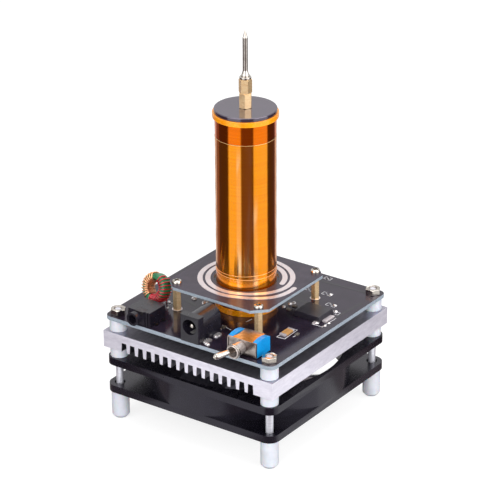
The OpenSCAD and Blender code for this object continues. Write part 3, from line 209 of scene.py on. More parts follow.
finishes = {
    "nylon": makeFinish("whiteNylon", (222, 224, 233), (205, 208, 217), (0.32, 0.42), grain=180, relief=0.15,
                        reliefSize=900, subsurface=0.25, subsurfaceReach=0.002, ior=1.5),
    "steel": makeFinish("studSteel", (238, 238, 246), (206, 206, 216), (0.28, 0.4), metal=0.55, grain=500,
                        stretch=(1, 1, 8), relief=0.25, reliefSize=2600),
    "nickel": makeFinish("nickelPlate", (206, 200, 193), (166, 158, 150), (0.1, 0.2), metal=1.0, grain=420,
                         relief=0.12),
    "bushing": makeFinish("bushingPlate", (214, 204, 200), (172, 162, 158), (0.14, 0.22), metal=0.7, grain=420,
                          stretch=(1, 5, 1), relief=0.25),
    "bracket": makeFinish("bracketPlate", (178, 169, 164), (126, 117, 112), (0.15, 0.24), metal=1.0, grain=420,
                          stretch=(1, 5, 1), relief=0.25),
    "dullNickel": makeFinish("dullNickel", (92, 88, 90), (62, 58, 62), (0.3, 0.42), metal=1.0, grain=420,
                             relief=0.2),
    "fan": makeFinish("fanPlastic", (18, 16, 25), (9, 8, 14), (0.2, 0.3), grain=260, relief=0.06, reliefSize=1600,
                      reliefDepth=0.00003, ior=1.5, tint=(0.88, 0.83, 1, 1)),
    # Painted sheen: the rotor is painted paler than the black frame, for the light its glossy blades mirror.
    "rotor": makeFinish("rotorPlasticPaintedSheen", (84, 82, 92), (66, 64, 74), (0.16, 0.26), grain=220, relief=0.1, ior=1.5,
                        tint=(0.88, 0.83, 1, 1)),
    "brass": makeFinish("turnedBrass", (255, 228, 180), (232, 188, 136), (0.18, 0.28), metal=0.7, grain=520,
                        stretch=(1, 1, 6), relief=0.2, reliefSize=3000),
    "iron": makeFinish("coreSteel", (150, 150, 154), (110, 110, 116), (0.35, 0.5), metal=1.0, grain=600,
                       stretch=(1, 1, 12), relief=0.3),
    "wire": makeFinish("copperWire", (255, 200, 156), (228, 150, 104), (0.16, 0.28), metal=0.8, grain=900,
                       relief=0.15, coat=0.6, coatRough=0.1),
    "redWire": makeFinish("redWire", (214, 24, 48), (146, 8, 28), (0.14, 0.22), metal=0.15, grain=900, relief=0.15,
                          coat=0.8, coatRough=0.08),
    "greenBoard": makeFinish("circuitGreen", (34, 96, 58), (20, 66, 38), (0.25, 0.4), grain=500),
    "magnet": makeFinish("ringMagnet", (92, 88, 90), (60, 58, 60), (0.5, 0.65), metal=0.2, grain=700),
    "alu": makeFinish("sawnAluminium", (240, 237, 248), (210, 206, 220), (0.34, 0.5), metal=0.5, grain=240,
                      stretch=(1, 1, 3), relief=0.35, reliefSize=1800, reliefDepth=0.00003, blotch=0.7),
    # Painted shade: the milled top is painted darker than the sides, for the shade under the board.
    "aluShadedTop": makeFinish("milledAluminiumPaintedShade", (184, 181, 194), (138, 135, 148), (0.3, 0.42), metal=0.85, grain=240,
                         stretch=(3, 1, 1), relief=0.3, reliefSize=1800, reliefDepth=0.00003, blotch=0.7),
    # Painted shade: faces in the slots and faces turned down above the base are painted dark.
    "aluSlotShade": makeFinish("slotAluminiumPaintedShade", (104, 102, 112), (70, 68, 77), (0.34, 0.46), metal=0.9, grain=240,
                          stretch=(1, 4, 1), relief=0.3, reliefSize=1800, reliefDepth=0.00003, blotch=0.7),
    "board": makeFinish("blackBoard", (46, 38, 52), (32, 26, 37), (0.1, 0.16), grain=200, relief=0.1,
                        reliefSize=1400, ior=1.42, tint=(0.92, 0.84, 1, 1)),
    "primary": makeFinish("primaryBlack", (64, 57, 72), (50, 44, 58), (0.16, 0.24), grain=160, relief=0.15,
                          reliefSize=1600, ior=1.34),
    "boardEdge": makeFinish("boardEdge", (172, 182, 194), (128, 140, 152), (0.35, 0.5), grain=900,
                            stretch=(1, 1, 6), relief=0.3),
    "tin": makeFinish("tinnedTrack", (228, 219, 222), (209, 200, 204), (0.18, 0.26), metal=0.5, grain=200,
                      relief=0.25, reliefSize=500, reliefDepth=0.00004),
    "tube": makeFinish("tubeBrown", (84, 52, 30), (56, 32, 18), (0.3, 0.45), grain=300),
    "band": makeFinish("bandOrange", (255, 168, 4), (248, 142, 0), (0.2, 0.32), grain=200, relief=0.2,
                       reliefSize=500, coat=0.35, coatRough=0.05),
    "lowBand": makeFinish("bandAmber", (255, 166, 8), (240, 134, 0), (0.2, 0.32), metal=0.3, grain=200, relief=0.2,
                          reliefSize=500, coat=0.5, coatRough=0.05),
    "cap": makeFinish("capBlack", (48, 38, 53), (34, 27, 39), (0.08, 0.13), grain=150, relief=0.08, reliefSize=900,
                      ior=2.1, tint=(0.94, 0.86, 1, 1)),
    "socket": makeFinish("socketBlack", (34, 31, 41), (21, 19, 27), (0.18, 0.28), grain=300, relief=0.1,
                         reliefSize=900, ior=1.5),
    "blue": makeFinish("switchBlue", (0, 152, 226), (0, 136, 208), (0.26, 0.38), grain=260, relief=0.1, ior=1.4),
    "coreGreen": makeFinish("coreGreen", (46, 128, 86), (26, 96, 60), (0.3, 0.42), grain=420, relief=0.3),
    "cream": makeFinish("chipCream", (206, 158, 96), (170, 118, 66), (0.3, 0.42), grain=600, relief=0.2),
    "package": makeFinish("packageBlack", (37, 33, 43), (25, 22, 30), (0.3, 0.42), grain=500, relief=0.35,
                          reliefSize=3600),
    "small": makeFinish("smallParts", (120, 112, 104), (70, 64, 60), (0.3, 0.45), grain=900),
    "ink": makeFinish("whiteInk", (226, 226, 230), (196, 196, 202), (0.5, 0.6), grain=900, relief=0.2),
    "solder": makeFinish("solder", (240, 236, 236), (206, 202, 204), (0.16, 0.28), metal=0.7, grain=500, relief=0.3,
                         reliefSize=1200, reliefDepth=0.00004),
    "trace": makeFinish("underMaskTrace", (46, 43, 51), (36, 34, 41), (0.1, 0.18), grain=400, ior=1.45),
    "tapeEdge": makeFinish("tapeEdge", (255, 216, 150), (250, 186, 96), (0.15, 0.25), metal=0.3, grain=300,
                           relief=0.2, coat=1.0, coatRough=0.05),
}


def addRings(finish, scale, depth):
    # Faint turning marks round the Z axis.
    tree = finish.node_tree
    normal = tree.nodes["Principled BSDF"].inputs["Normal"]
    rings = addNode(tree, "ShaderNodeTexWave", wave_type="RINGS", rings_direction="Z")
    for name, value in {"Vector": placeNode(tree), "Scale": scale, "Distortion": 1.5, "Detail": 2}.items():
        feed(tree, rings.inputs[name], value)
    tree.links.new(bumpNode(tree, rings.outputs["Fac"], depth, 0.00005, normal.links[0].from_socket), normal)


addRings(finishes["cap"], 260, 0.3)

windingLook = {
    "rough": (0.08, 0.13), "grain": 60, "stretch": (0.25, 0.25, 26), "relief": 0.1, "reliefSize": 1500,
    "reliefDepth": 0.00001, "blotch": 0.9, "coatRough": 0.08, "coatIor": 1.45,
    "creaseSize": 170, "creaseStretch": (1, 1, 0.22), "creases": 0.35, "creaseDepth": 0.0002,
    "ringShare": 0.14, "reflectionTone": (255, 204, 150), "reflectionFade": 0.02,
    "reflectionPatches": (0.36, 0.56, 0.15),  # painted reflections are patchy along the crease noise: from and to, least strength
    "paintedReflections": [(-13, 6, 0.118, 1.0), (17, 7, 0.1, 0.7), (3, 10, 0.125, 0.4)],  # painted reflection streaks on the tape: turn, half width, top, strength
}


def makeWindingFinish(name, light, dark, coat, paintedReflections=()):
    # Enamelled copper under clear amber tape: the gloss of the tape lies over the wires.
    look = windingLook
    finish = makeFinish(name, light, dark, look["rough"], 1.0, look["grain"], look["stretch"], look["relief"],
                        look["reliefSize"], look["reliefDepth"], look["blotch"], coat=coat,
                        coatRough=look["coatRough"], coatIor=look["coatIor"])
    tree = finish.node_tree
    shader = tree.nodes["Principled BSDF"]
    where = placeNode(tree)
    outward = vectorNode(tree, "NORMALIZE", vectorNode(tree, "MULTIPLY", where, (1, 1, 0)))
    crease = noiseNode(tree, placeNode(tree, look["creaseStretch"]), scale=look["creaseSize"], detail=2,
                       distortion=0.6)
    tree.links.new(bumpNode(tree, crease, look["creases"], look["creaseDepth"], outward),
                   shader.inputs["Coat Normal"])
    # Seen from a distance the fine wires read as one smooth side with faint rings.
    blend = addNode(tree, "ShaderNodeMix", data_type="VECTOR")
    blend.inputs[0].default_value = look["ringShare"]
    tree.links.new(outward, blend.inputs[4])
    tree.links.new(shader.inputs["Normal"].links[0].from_socket, blend.inputs[5])
    tree.links.new(vectorNode(tree, "NORMALIZE", blend.outputs[1]), shader.inputs["Normal"])
    # Painted reflections: pale upright streaks painted into the base colour at fixed turns, where the tape would
    # mirror the lamps.
    split = addNode(tree, "ShaderNodeSeparateXYZ")
    tree.links.new(where, split.inputs["Vector"])
    for turn, half, top, strength in paintedReflections:
        facing = vectorNode(tree, "DOT_PRODUCT", outward, floorWay(turn))
        across = rangeNode(tree, facing, math.cos(math.radians(half)), 1, 0, strength)
        along = rangeNode(tree, split.outputs["Z"], top, top - look["reflectionFade"], 0, 1)
        patchy = rangeNode(tree, crease, *look["reflectionPatches"], 1)
        share = mathNode(tree, "MULTIPLY", mathNode(tree, "MULTIPLY", across, along), patchy)
        under = shader.inputs["Base Color"].links[0].from_socket
        tree.links.new(colourMix(tree, share, under, tone(*look["reflectionTone"])), shader.inputs["Base Color"])
    return finish


finishes["winding"] = makeWindingFinish("tapedWinding", (255, 166, 8), (250, 136, 0), 0.5, windingLook["paintedReflections"])
finishes["bareWinding"] = makeWindingFinish("bareWinding", (250, 128, 6), (236, 106, 0), 0.2)
print("stage: finishes made,", len(finishes))

# Pieces. A softened one is its CAD solid with merged faces and small rounded edges.
softening = {"merge": 2e-6, "flatTurn": 1.2, "edgeTurn": 35}


def settle(piece, nodeNames, body=None):
    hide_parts(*nodeNames)
    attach(piece, body or bodyOfNode[nodeNames[0]])
    return piece


def bakeModifiers(piece):
    bpy.context.view_layer.update()
    shaped = bpy.data.meshes.new_from_object(piece.evaluated_get(bpy.context.evaluated_depsgraph_get()))
    piece.modifiers.clear()
    piece.data = shaped
    return piece


def softened(nodeName, materials, edge, steps, choose=None):
    work = bmesh.new()
    work.from_mesh(cadNodes[nodeName].data)
    bmesh.ops.remove_doubles(work, verts=work.verts, dist=softening["merge"])
    bmesh.ops.dissolve_limit(work, angle_limit=math.radians(softening["flatTurn"]), verts=work.verts,
                             edges=work.edges)
    bmesh.ops.recalc_face_normals(work, faces=work.faces)
    for face in work.faces:
        face.smooth = True
        face.material_index = choose(face) if choose else 0
    mesh = bpy.data.meshes.new(nodeName + "Shaped")
    for material in materials:
        mesh.materials.append(material)
    work.to_mesh(mesh)
    work.free()
    if "custom_normal" in mesh.attributes:
        mesh.attributes.remove(mesh.attributes["custom_normal"])
    piece = bpy.data.objects.new(nodeName + "_shaped", mesh)
    bpy.context.scene.collection.objects.link(piece)
    bevel = piece.modifiers.new("edges", "BEVEL")
    bevel.width = edge * mm
    bevel.segments = steps
    bevel.limit_method = "ANGLE"
    bevel.angle_limit = math.radians(softening["edgeTurn"])
    bevel.harden_normals = True
    bevel.use_clamp_overlap = True
    bakeModifiers(piece)
    return settle(piece, [nodeName])


# Node, material slot, finish, edge in mm and steps round the edge.
plainPieces = [
    ("feet", "white_nylon", "nylon", 0.25, 3),
    ("lower_spacers", "white_nylon", "nylon", 0.2, 2),
    ("upper_spacers", "white_nylon", "nylon", 0.2, 2),
    ("fan_frame", "fan_black", "fan", 0.3, 2),
    ("cap_disc", "cap_black", "cap", 0.12, 3),
    ("lower_post", "brass", "brass", 0.1, 2),
    ("upper_post", "brass", "brass", 0.1, 2),
    ("needle_collar", "nickel", "nickel", 0.08, 2),
    ("audio_socket", "socket_black", "socket", 0.15, 2),
    ("power_socket", "socket_black", "socket", 0.18, 2),
    ("switch_body", "switch_blue", "blue", 0.15, 2),
    ("switch_bracket", "nickel", "bracket", 0.12, 2),
    ("switch_bushing", "nickel", "bushing", 0.1, 2),
    ("switch_ring", "nickel", "nickel", 0.12, 2),
    ("switch_lever", "nickel", "nickel", 0.08, 2),
    ("board_nuts", "nickel", "nickel", 0.1, 2),
    ("board_standoffs", "brass", "brass", 0.1, 2),
    ("primary_screws", "nickel", "nickel", 0.08, 2),
    ("upper_band", "band_orange", "band", 0.15, 3),
    ("lower_band", "band_orange", "lowBand", 0.12, 3),
    ("power_package", "part_grey", "package", 0.15, 2),
    ("chip", "chip_cream", "cream", 0.12, 2),
    ("chip_ends", "tin", "tin", 0.1, 2),
    ("choke_core", "core_green", "coreGreen", 0.35, 3),
    ("small_parts", "part_grey", "small", 0.1, 2),
]
for nodeName, slotName, finishName, edge, steps in plainPieces:
    softened(nodeName, [finishes[finishName]], edge, steps)

sinkLow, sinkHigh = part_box("heat_sink")
sink = {"finishes": ["alu", "aluShadedTop", "aluSlotShade"], "edge": 0.12, "steps": 2, "skin": 1 * mm, "facing": 0.9}
boards = {"edge": 0.1, "steps": 2, "facing": 0.7}


def sinkFinishAndShade(face):
    # Cut ends and outer sides keep the bright finish. The milled top is duller and is also painted darker, a
    # painted shade for the board above it. The slots are painted dark, a painted shade between the fins.
    spot, normal = face.calc_center_median(), face.normal
    if normal.z > sink["facing"]:
        return 1
    inSlot = abs(normal.x) > sink["facing"] and abs(spot.x) < sinkHigh.x - sink["skin"]
    return 2 if inSlot or (normal.z < -sink["facing"] and spot.z > sinkLow.z + sink["skin"]) else 0


def flatOrEdge(face):
    return 0 if abs(face.normal.z) > boards["facing"] else 1


softened("heat_sink", [finishes[name] for name in sink["finishes"]], sink["edge"], sink["steps"],
         sinkFinishAndShade)
for nodeName, slotName, finishName in (("main_board", "board_black", "board"),
                                       ("primary_board", "primary_black", "primary")):
    softened(nodeName, [finishes[finishName], finishes["boardEdge"]], boards["edge"], boards["steps"],
             flatOrEdge)
print("stage: softened pieces")

keptFinishes = {
    "clamp_studs": "steel", "fan_bearing": "brass", "fan_stator": "iron", "fan_coils": "wire",
    "fan_circuit": "greenBoard", "fan_rotor": "rotor", "fan_yoke": "iron", "fan_magnet": "magnet",
    "fan_shaft": "steel", "board_pads": "tin", "board_screws": "nickel", "primary_track": "tin",
    "coil_tube": "tube", "cap_screw": "nickel", "needle": "nickel", "audio_contacts": "dullNickel",
    "power_pin": "nickel", "power_lugs": "solder", "switch_pins": "tin", "package_leads": "tin",
}
for nodeName, finishName in keptFinishes.items():
    mesh = cadNodes[nodeName].data
    mesh.materials.clear()
    mesh.materials.append(finishes[finishName])

# Geometry Nodes: one tree lays strip or wire along paths, one drops solder, one winds the coil.


def newTree(name, inputs):
    tree = bpy.data.node_groups.new(name, "GeometryNodeTree")
    tree.interface.new_socket("Geometry", in_out="INPUT", socket_type="NodeSocketGeometry")
    sockets = {}
    for label, kind, value in inputs:
        socket = tree.interface.new_socket(label, in_out="INPUT", socket_type=kind)
        if value is not None:
            socket.default_value = value
        sockets[label] = socket.identifier
    tree.interface.new_socket("Geometry", in_out="OUTPUT", socket_type="NodeSocketGeometry")
    return tree, sockets


def makeStripTree():
    # A flat strip or a round wire along every path of the given mesh.
    tree, sockets = newTree("stripAlongPath", [
        ("Width", "NodeSocketFloat", 0.0003), ("Height", "NodeSocketFloat", 0.00004),
        ("Round", "NodeSocketBool", False), ("Sides", "NodeSocketInt", 10), ("Paint", "NodeSocketMaterial", None)])
    source = tree.nodes.new("NodeGroupInput")
    target = tree.nodes.new("NodeGroupOutput")
    path = tree.nodes.new("GeometryNodeMeshToCurve")
    level = tree.nodes.new("GeometryNodeSetCurveNormal")
    level.mode = "Z_UP"
    flat = tree.nodes.new("GeometryNodeCurvePrimitiveQuadrilateral")
    ring = tree.nodes.new("GeometryNodeCurvePrimitiveCircle")
    halve = addNode(tree, "ShaderNodeMath", operation="MULTIPLY")
    halve.inputs[1].default_value = 0.5
    choose = tree.nodes.new("GeometryNodeSwitch")
    choose.input_type = "GEOMETRY"
    sweep = tree.nodes.new("GeometryNodeCurveToMesh")
    sweep.inputs["Fill Caps"].default_value = True
    smooth = tree.nodes.new("GeometryNodeSetShadeSmooth")
    real = tree.nodes.new("GeometryNodeRealizeInstances")
    paint = tree.nodes.new("GeometryNodeSetMaterial")
    link = tree.links.new
    link(source.outputs["Geometry"], path.inputs["Mesh"])
    link(path.outputs["Curve"], level.inputs["Curve"])
    link(source.outputs["Width"], flat.inputs["Width"])
    link(source.outputs["Height"], flat.inputs["Height"])
    link(source.outputs["Width"], halve.inputs[0])
    link(halve.outputs[0], ring.inputs["Radius"])
    link(source.outputs["Sides"], ring.inputs["Resolution"])
    link(source.outputs["Round"], choose.inputs["Switch"])
    link(flat.outputs["Curve"], choose.inputs["False"])
    link(ring.outputs["Curve"], choose.inputs["True"])
    link(level.outputs["Curve"], sweep.inputs["Curve"])
    link(choose.outputs["Output"], sweep.inputs["Profile Curve"])
    link(sweep.outputs["Mesh"], smooth.inputs["Geometry"])
    link(source.outputs["Round"], smooth.inputs["Shade Smooth"])
    link(smooth.outputs["Geometry"], real.inputs["Geometry"])
    link(real.outputs["Geometry"], paint.inputs["Geometry"])
    link(source.outputs["Paint"], paint.inputs["Material"])
    link(paint.outputs["Geometry"], target.inputs["Geometry"])
    return tree, sockets


def makeBlobTree():
    # Small rounded mounds on every point of the given mesh, of slightly different sizes.
    tree, sockets = newTree("solderBlobs", [
        ("Size", "NodeSocketFloat", 0.0004), ("Fineness", "NodeSocketInt", 3), ("Seed", "NodeSocketInt", 3),
        ("Smallest", "NodeSocketVector", (0.75, 0.75, 0.5)), ("Largest", "NodeSocketVector", (1.35, 1.25, 1.0)),
        ("Paint", "NodeSocketMaterial", None)])
    source = tree.nodes.new("NodeGroupInput")
    target = tree.nodes.new("NodeGroupOutput")
    ball = tree.nodes.new("GeometryNodeMeshIcoSphere")
    spots = tree.nodes.new("GeometryNodeInstanceOnPoints")
    dice = tree.nodes.new("FunctionNodeRandomValue")
    dice.data_type = "FLOAT_VECTOR"
    real = tree.nodes.new("GeometryNodeRealizeInstances")
    smooth = tree.nodes.new("GeometryNodeSetShadeSmooth")
    paint = tree.nodes.new("GeometryNodeSetMaterial")
    link = tree.links.new
    link(source.outputs["Geometry"], spots.inputs["Points"])
    link(source.outputs["Size"], ball.inputs["Radius"])
    link(ball.outputs["Mesh"], spots.inputs["Instance"])
    link(source.outputs["Fineness"], ball.inputs["Subdivisions"])
    link(source.outputs["Smallest"], dice.inputs[0])
    link(source.outputs["Largest"], dice.inputs[1])
    link(source.outputs["Seed"], dice.inputs["Seed"])
    link(dice.outputs[0], spots.inputs["Scale"])
    link(spots.outputs["Instances"], real.inputs["Geometry"])
    link(real.outputs["Geometry"], smooth.inputs["Geometry"])
    link(smooth.outputs["Geometry"], paint.inputs["Geometry"])
    link(source.outputs["Paint"], paint.inputs["Material"])
    link(paint.outputs["Geometry"], target.inputs["Geometry"])
    return tree, sockets


def growPiece(name, tree, sockets, values, baseMesh=None):
    piece = bpy.data.objects.new(name, baseMesh or bpy.data.meshes.new(name))
    bpy.context.scene.collection.objects.link(piece)
    grower = piece.modifiers.new("grow", "NODES")
    grower.node_group = tree
    for label, value in values.items():
        grower[sockets[label]] = value
    bpy.context.view_layer.update()
    grown = bpy.data.meshes.new_from_object(piece.evaluated_get(bpy.context.evaluated_depsgraph_get()))
    piece.modifiers.clear()
    piece.data = grown
    return piece


def makeCoilTree():
    tree, sockets = newTree("coilWinding", [
        ("Turns", "NodeSocketFloat", 200.0), ("Coil Radius", "NodeSocketFloat", 0.0116),
        ("Height", "NodeSocketFloat", 0.07), ("Bottom", "NodeSocketFloat", 0.05),
        ("Steps", "NodeSocketInt", 44), ("Sides", "NodeSocketInt", 7),
        ("Wire Radius", "NodeSocketFloat", 0.00015), ("Wire", "NodeSocketMaterial", None)])
    source = tree.nodes.new("NodeGroupInput")
    target = tree.nodes.new("NodeGroupOutput")
    spiral = tree.nodes.new("GeometryNodeCurveSpiral")
    section = tree.nodes.new("GeometryNodeCurvePrimitiveCircle")
    sweep = tree.nodes.new("GeometryNodeCurveToMesh")
    raiseIt = tree.nodes.new("GeometryNodeTransform")
    lift = tree.nodes.new("ShaderNodeCombineXYZ")
    paint = tree.nodes.new("GeometryNodeSetMaterial")
    smooth = tree.nodes.new("GeometryNodeSetShadeSmooth")
    real = tree.nodes.new("GeometryNodeRealizeInstances")
    link = tree.links.new
    link(source.outputs["Turns"], spiral.inputs["Rotations"])
    link(source.outputs["Coil Radius"], spiral.inputs["Start Radius"])
    link(source.outputs["Coil Radius"], spiral.inputs["End Radius"])
    link(source.outputs["Height"], spiral.inputs["Height"])
    link(source.outputs["Steps"], spiral.inputs["Resolution"])
    link(source.outputs["Wire Radius"], section.inputs["Radius"])
    link(source.outputs["Sides"], section.inputs["Resolution"])
    link(spiral.outputs["Curve"], sweep.inputs["Curve"])
    link(section.outputs["Curve"], sweep.inputs["Profile Curve"])
    link(sweep.outputs["Mesh"], raiseIt.inputs["Geometry"])
    link(source.outputs["Bottom"], lift.inputs["Z"])
    link(lift.outputs["Vector"], raiseIt.inputs["Translation"])
    link(raiseIt.outputs["Geometry"], smooth.inputs["Geometry"])
    link(smooth.outputs["Geometry"], real.inputs["Geometry"])
    link(real.outputs["Geometry"], paint.inputs["Geometry"])
    link(source.outputs["Wire"], paint.inputs["Material"])
    link(paint.outputs["Geometry"], target.inputs["Geometry"])
    return tree, sockets


windingLow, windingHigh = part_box("coil_winding")
winding = {"pitch": 0.32 * mm, "wire": 0.3 * mm, "proud": 0.02 * mm, "outer": windingHigh.x, "tapeTop": 116 * mm}
coilTree, coilSockets = makeCoilTree()
stripTree, stripSockets = makeStripTree()
blobTree, blobSockets = makeBlobTree()


def windCoil(name, bottom, top, finish):
    height = top - bottom - 2 * winding["wire"]
    return growPiece(name, coilTree, coilSockets, {
        "Turns": height / winding["pitch"], "Coil Radius": winding["outer"] + winding["proud"] - winding["wire"],
        "Height": height, "Bottom": bottom + winding["wire"], "Wire Radius": winding["wire"], "Wire": finish})


tapedCoil = windCoil("coil_wires", windingLow.z, winding["tapeTop"], finishes["winding"])
settle(tapedCoil, ["coil_winding", "coil_tape"])
bareCoil = windCoil("coil_wires_top", winding["tapeTop"], windingHigh.z, finishes["bareWinding"])
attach(bareCoil, "base")


def pathMesh(name, paths):
    mesh = bpy.data.meshes.new(name)
    points, edges = [], []
    for path in paths:
        first = len(points)
        points += [tuple(p) for p in path]
        edges += [(first + i, first + i + 1) for i in range(len(path) - 1)]
    mesh.from_pydata(points, edges, [])
    return mesh


def layStrips(name, paths, width, height, finish, isRound=False, replaced=()):
    piece = growPiece(name, stripTree, stripSockets, {
        "Width": width, "Height": height, "Round": isRound, "Paint": finish}, pathMesh(name, paths))
    if replaced:
        return settle(piece, list(replaced))
    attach(piece, "base")
    return piece


def ringPath(radius, level, tilt=0.0, count=72):
    turns = [2 * math.pi * i / count for i in range(count + 1)]
    return [(radius * math.cos(t), radius * math.sin(t), level + tilt * math.cos(t)) for t in turns]


tapeEdges = {
    "radius": winding["outer"] + 0.04 * mm, "thick": 0.12 * mm,
    "levels": [(116.0, 0.05), (61.6, 0.25), (60.4, -0.2)],  # height and lean in mm
}
layStrips("tape_edges", [ringPath(tapeEdges["radius"], z * mm, t * mm) for z, t in tapeEdges["levels"]],
          tapeEdges["thick"], 0, finishes["tapeEdge"], True)
print("stage: coil wound,", len(tapedCoil.data.polygons), "faces")

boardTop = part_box("main_board")[1].z

# Choke: two windings round the green ring, each with its leads down to the board.
choke = {
    "centre": Vector((-29, -19.6, 51.6255)) * mm, "turn": -5.5, "tilt": 19, "ringOut": 5.5, "ringIn": 3.2,
    "ringHalf": 2.5, "lift": 0.08, "wire": 0.6, "redShare": 0.86, "copperShare": 0.92, "steps": 28,
    "corner": 0.55, "leadSteps": 12, "leadRise": 2.2 * mm, "leadFoot": (0.75, 0.5), "leadKnee": (0.95, 0.7, 0.45),
    "redSpots": [64, 50, 36, 22, 8, -6, -20, -33, -43, -53, -63, -73, -83, -93, -103],
    "copperSpots": [105, 118, 131, 144, 157, 170, 183, 196, 209, 222, 235, 248],
}
chokeTurn = (Matrix.Rotation(math.radians(choke["turn"]), 3, "Z")
             @ Matrix.Rotation(math.radians(90 - choke["tilt"]), 3, "X"))


def chokePoint(x, y, z):
    return choke["centre"] + chokeTurn @ (Vector((x, y, z)) * mm)


def squared(value):
    # Drives a round turn out towards the corners of the ring's section.
    return math.copysign(abs(value) ** choke["corner"], value)


def chokePath(spots):
    middle = (choke["ringOut"] + choke["ringIn"]) / 2
    halfRadial = (choke["ringOut"] - choke["ringIn"]) / 2 + choke["lift"] + choke["wire"] / 2
    halfAxial = choke["ringHalf"] + choke["lift"] + choke["wire"] / 2
    points = []
    for i in range(len(spots) - 1):
        for k in range(choke["steps"]):
            share = k / choke["steps"]
            circle = 2 * math.pi * share
            spot = math.radians(spots[i] + (spots[i + 1] - spots[i]) * share)
            radius = middle + halfRadial * squared(math.cos(circle))
            depth = halfAxial * squared(math.sin(circle))
            points.append(chokePoint(radius * math.cos(spot), radius * math.sin(spot), depth))

    def lead(start, spot, side):
        # From the ring's outside round its back and down into the board.
        outer = choke["ringOut"] + choke["wire"]
        sideways, upwards = outer * math.cos(math.radians(spot)), outer * math.sin(math.radians(spot))
        footShare, footOut = choke["leadFoot"]
        kneeShare, kneeUp, kneeOut = choke["leadKnee"]
        foot = chokePoint(sideways * footShare, 0, side * (halfAxial + footOut))
        foot.z = boardTop
        highKnee = chokePoint(sideways * kneeShare, upwards * kneeUp, side * (halfAxial + kneeOut))
        lowKnee = foot + Vector((0, 0, choke["leadRise"]))
        curve = []
        for k in range(1, choke["leadSteps"] + 1):
            t = k / choke["leadSteps"]
            curve.append(start * (1 - t) ** 3 + highKnee * (3 * t * (1 - t) ** 2)
                         + lowKnee * (3 * t * t * (1 - t)) + foot * t ** 3)
        return curve

    return lead(points[0], spots[0], -1)[::-1] + points + lead(points[-1], spots[-1], 1)


layStrips("choke_red_wire", [chokePath(choke["redSpots"])], choke["wire"] * choke["redShare"] * mm, 0,
          finishes["redWire"], True, ["choke_red"])
layStrips("choke_copper_wire", [chokePath(choke["copperSpots"])], choke["wire"] * choke["copperShare"] * mm, 0,
          finishes["wire"], True, ["choke_copper"])
print("stage: choke wound")

# Board: faint tracks, ink outlines round the parts, solder at the joints. Places are in mm.
boardMarks = {
    "inkWide": 0.32 * mm, "inkHigh": 0.05 * mm, "trackWide": 1.1 * mm, "trackHigh": 0.06 * mm,
    "lugWide": 0.3 * mm, "lugHigh": 0.4 * mm, "solderSize": 0.62 * mm, "moundSize": 0.95 * mm,
    "inkLift": 0.02 * mm, "lugLift": 0.2 * mm, "solderLift": 0.1 * mm, "solderSeed": 5, "moundSeed": 9,
    "frameArm": 0.3, "frameBar": 0.25,  # where a frame's arms and its bar end, as a share of half its width
    "frames": [
        (21.3, 24.9, 4.1, 2.1), (28.1, 17.5, 4.1, 2.1), (33.2, 12.5, 3.8, 2.0), (13.7, 37.0, 3.1, 1.8),
        (13.1, 24.3, 3.1, 1.8), (-25.4, -17.3, 2.9, 2.0), (-31.3, -14.8, 3.4, 2.0), (-32.5, -22.2, 3.1, 1.8)],
    "lines": [
        [(26.4, -17.6), (26.6, -8.7), (29.6, -8.1), (29.9, -17.2), (26.4, -17.6)],
        [(31.3, -0.6), (35.9, -0.6), (36.2, 8.7)],
        [(29.5, 10.4), (30.9, 11.1)],
        [(31.6, -14.0), (31.8, -12.3)],
        [(3.3, -21.0), (8.7, -22.6)],
        [(9.4, -13.7), (9.8, -10.2)]],
    "tracks": [
        [(13.0, 33.7), (32.9, 34.6)],
        [(35.5, 7.6), (37.0, 25.9)],
        [(26.5, -1.8), (21.4, -1.1), (17.4, 2.6)],
        [(14.3, 13.4), (19.7, 13.9)],
        [(-25.8, -14.3), (-13.9, -27.6)],
        [(-21.2, -11.1), (-14.8, -13.2)]],
    "lug": [(-18.1, -38.2), (-19.4, -31.6)],
    "mounds": [
        (4.6, -31.6), (5.6, -34.2), (6.7, -36.9), (8.9, -37.9), (5.8, -27.7), (5.0, -25.1), (7.4, -30.7),
        (32.4, 1.2), (14.6, 8.8), (-19.2, -8.6), (-13.8, -9.3)],
    "solder": [
        (-19.5, -8.8), (-19.4, -7.7), (-13.6, -10.2), (-13.1, -8.3), (-25.4, -16.7), (-22.8, -20.9),
        (5.7, -36.0), (7.8, -37.6), (2.3, -24.9), (5.8, -27.7), (7.9, -29.4), (32.1, 1.6), (13.9, 5.6),
        (14.7, 9.4), (15.2, 10.8), (36.4, 0.8), (36.4, 3.5), (23.1, 25.0), (29.8, 17.6), (33.1, 13.4)],
}


def onBoard(points, lift=0.0):
    return [(x * mm, y * mm, boardTop + lift) for x, y in points]


def frameMark(x, y, wide, deep):
    # An open outline with a short bar in it, as is printed round a small part.
    w, d = wide / 2, deep / 2
    arm, bar = w * boardMarks["frameArm"], w * boardMarks["frameBar"]
    return [[(x - arm, y - d), (x - w, y - d), (x - w, y + d), (x - arm, y + d)],
            [(x + arm, y - d), (x + w, y - d), (x + w, y + d), (x + arm, y + d)],
            [(x - bar, y), (x + bar, y)]]


def dropSolder(name, spots, size, seed):
    mesh = bpy.data.meshes.new(name)
    mesh.from_pydata(onBoard(spots, boardMarks["solderLift"]), [], [])
    drops = growPiece(name, blobTree, blobSockets, {"Size": size, "Seed": seed, "Paint": finishes["solder"]}, mesh)
    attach(drops, "base")


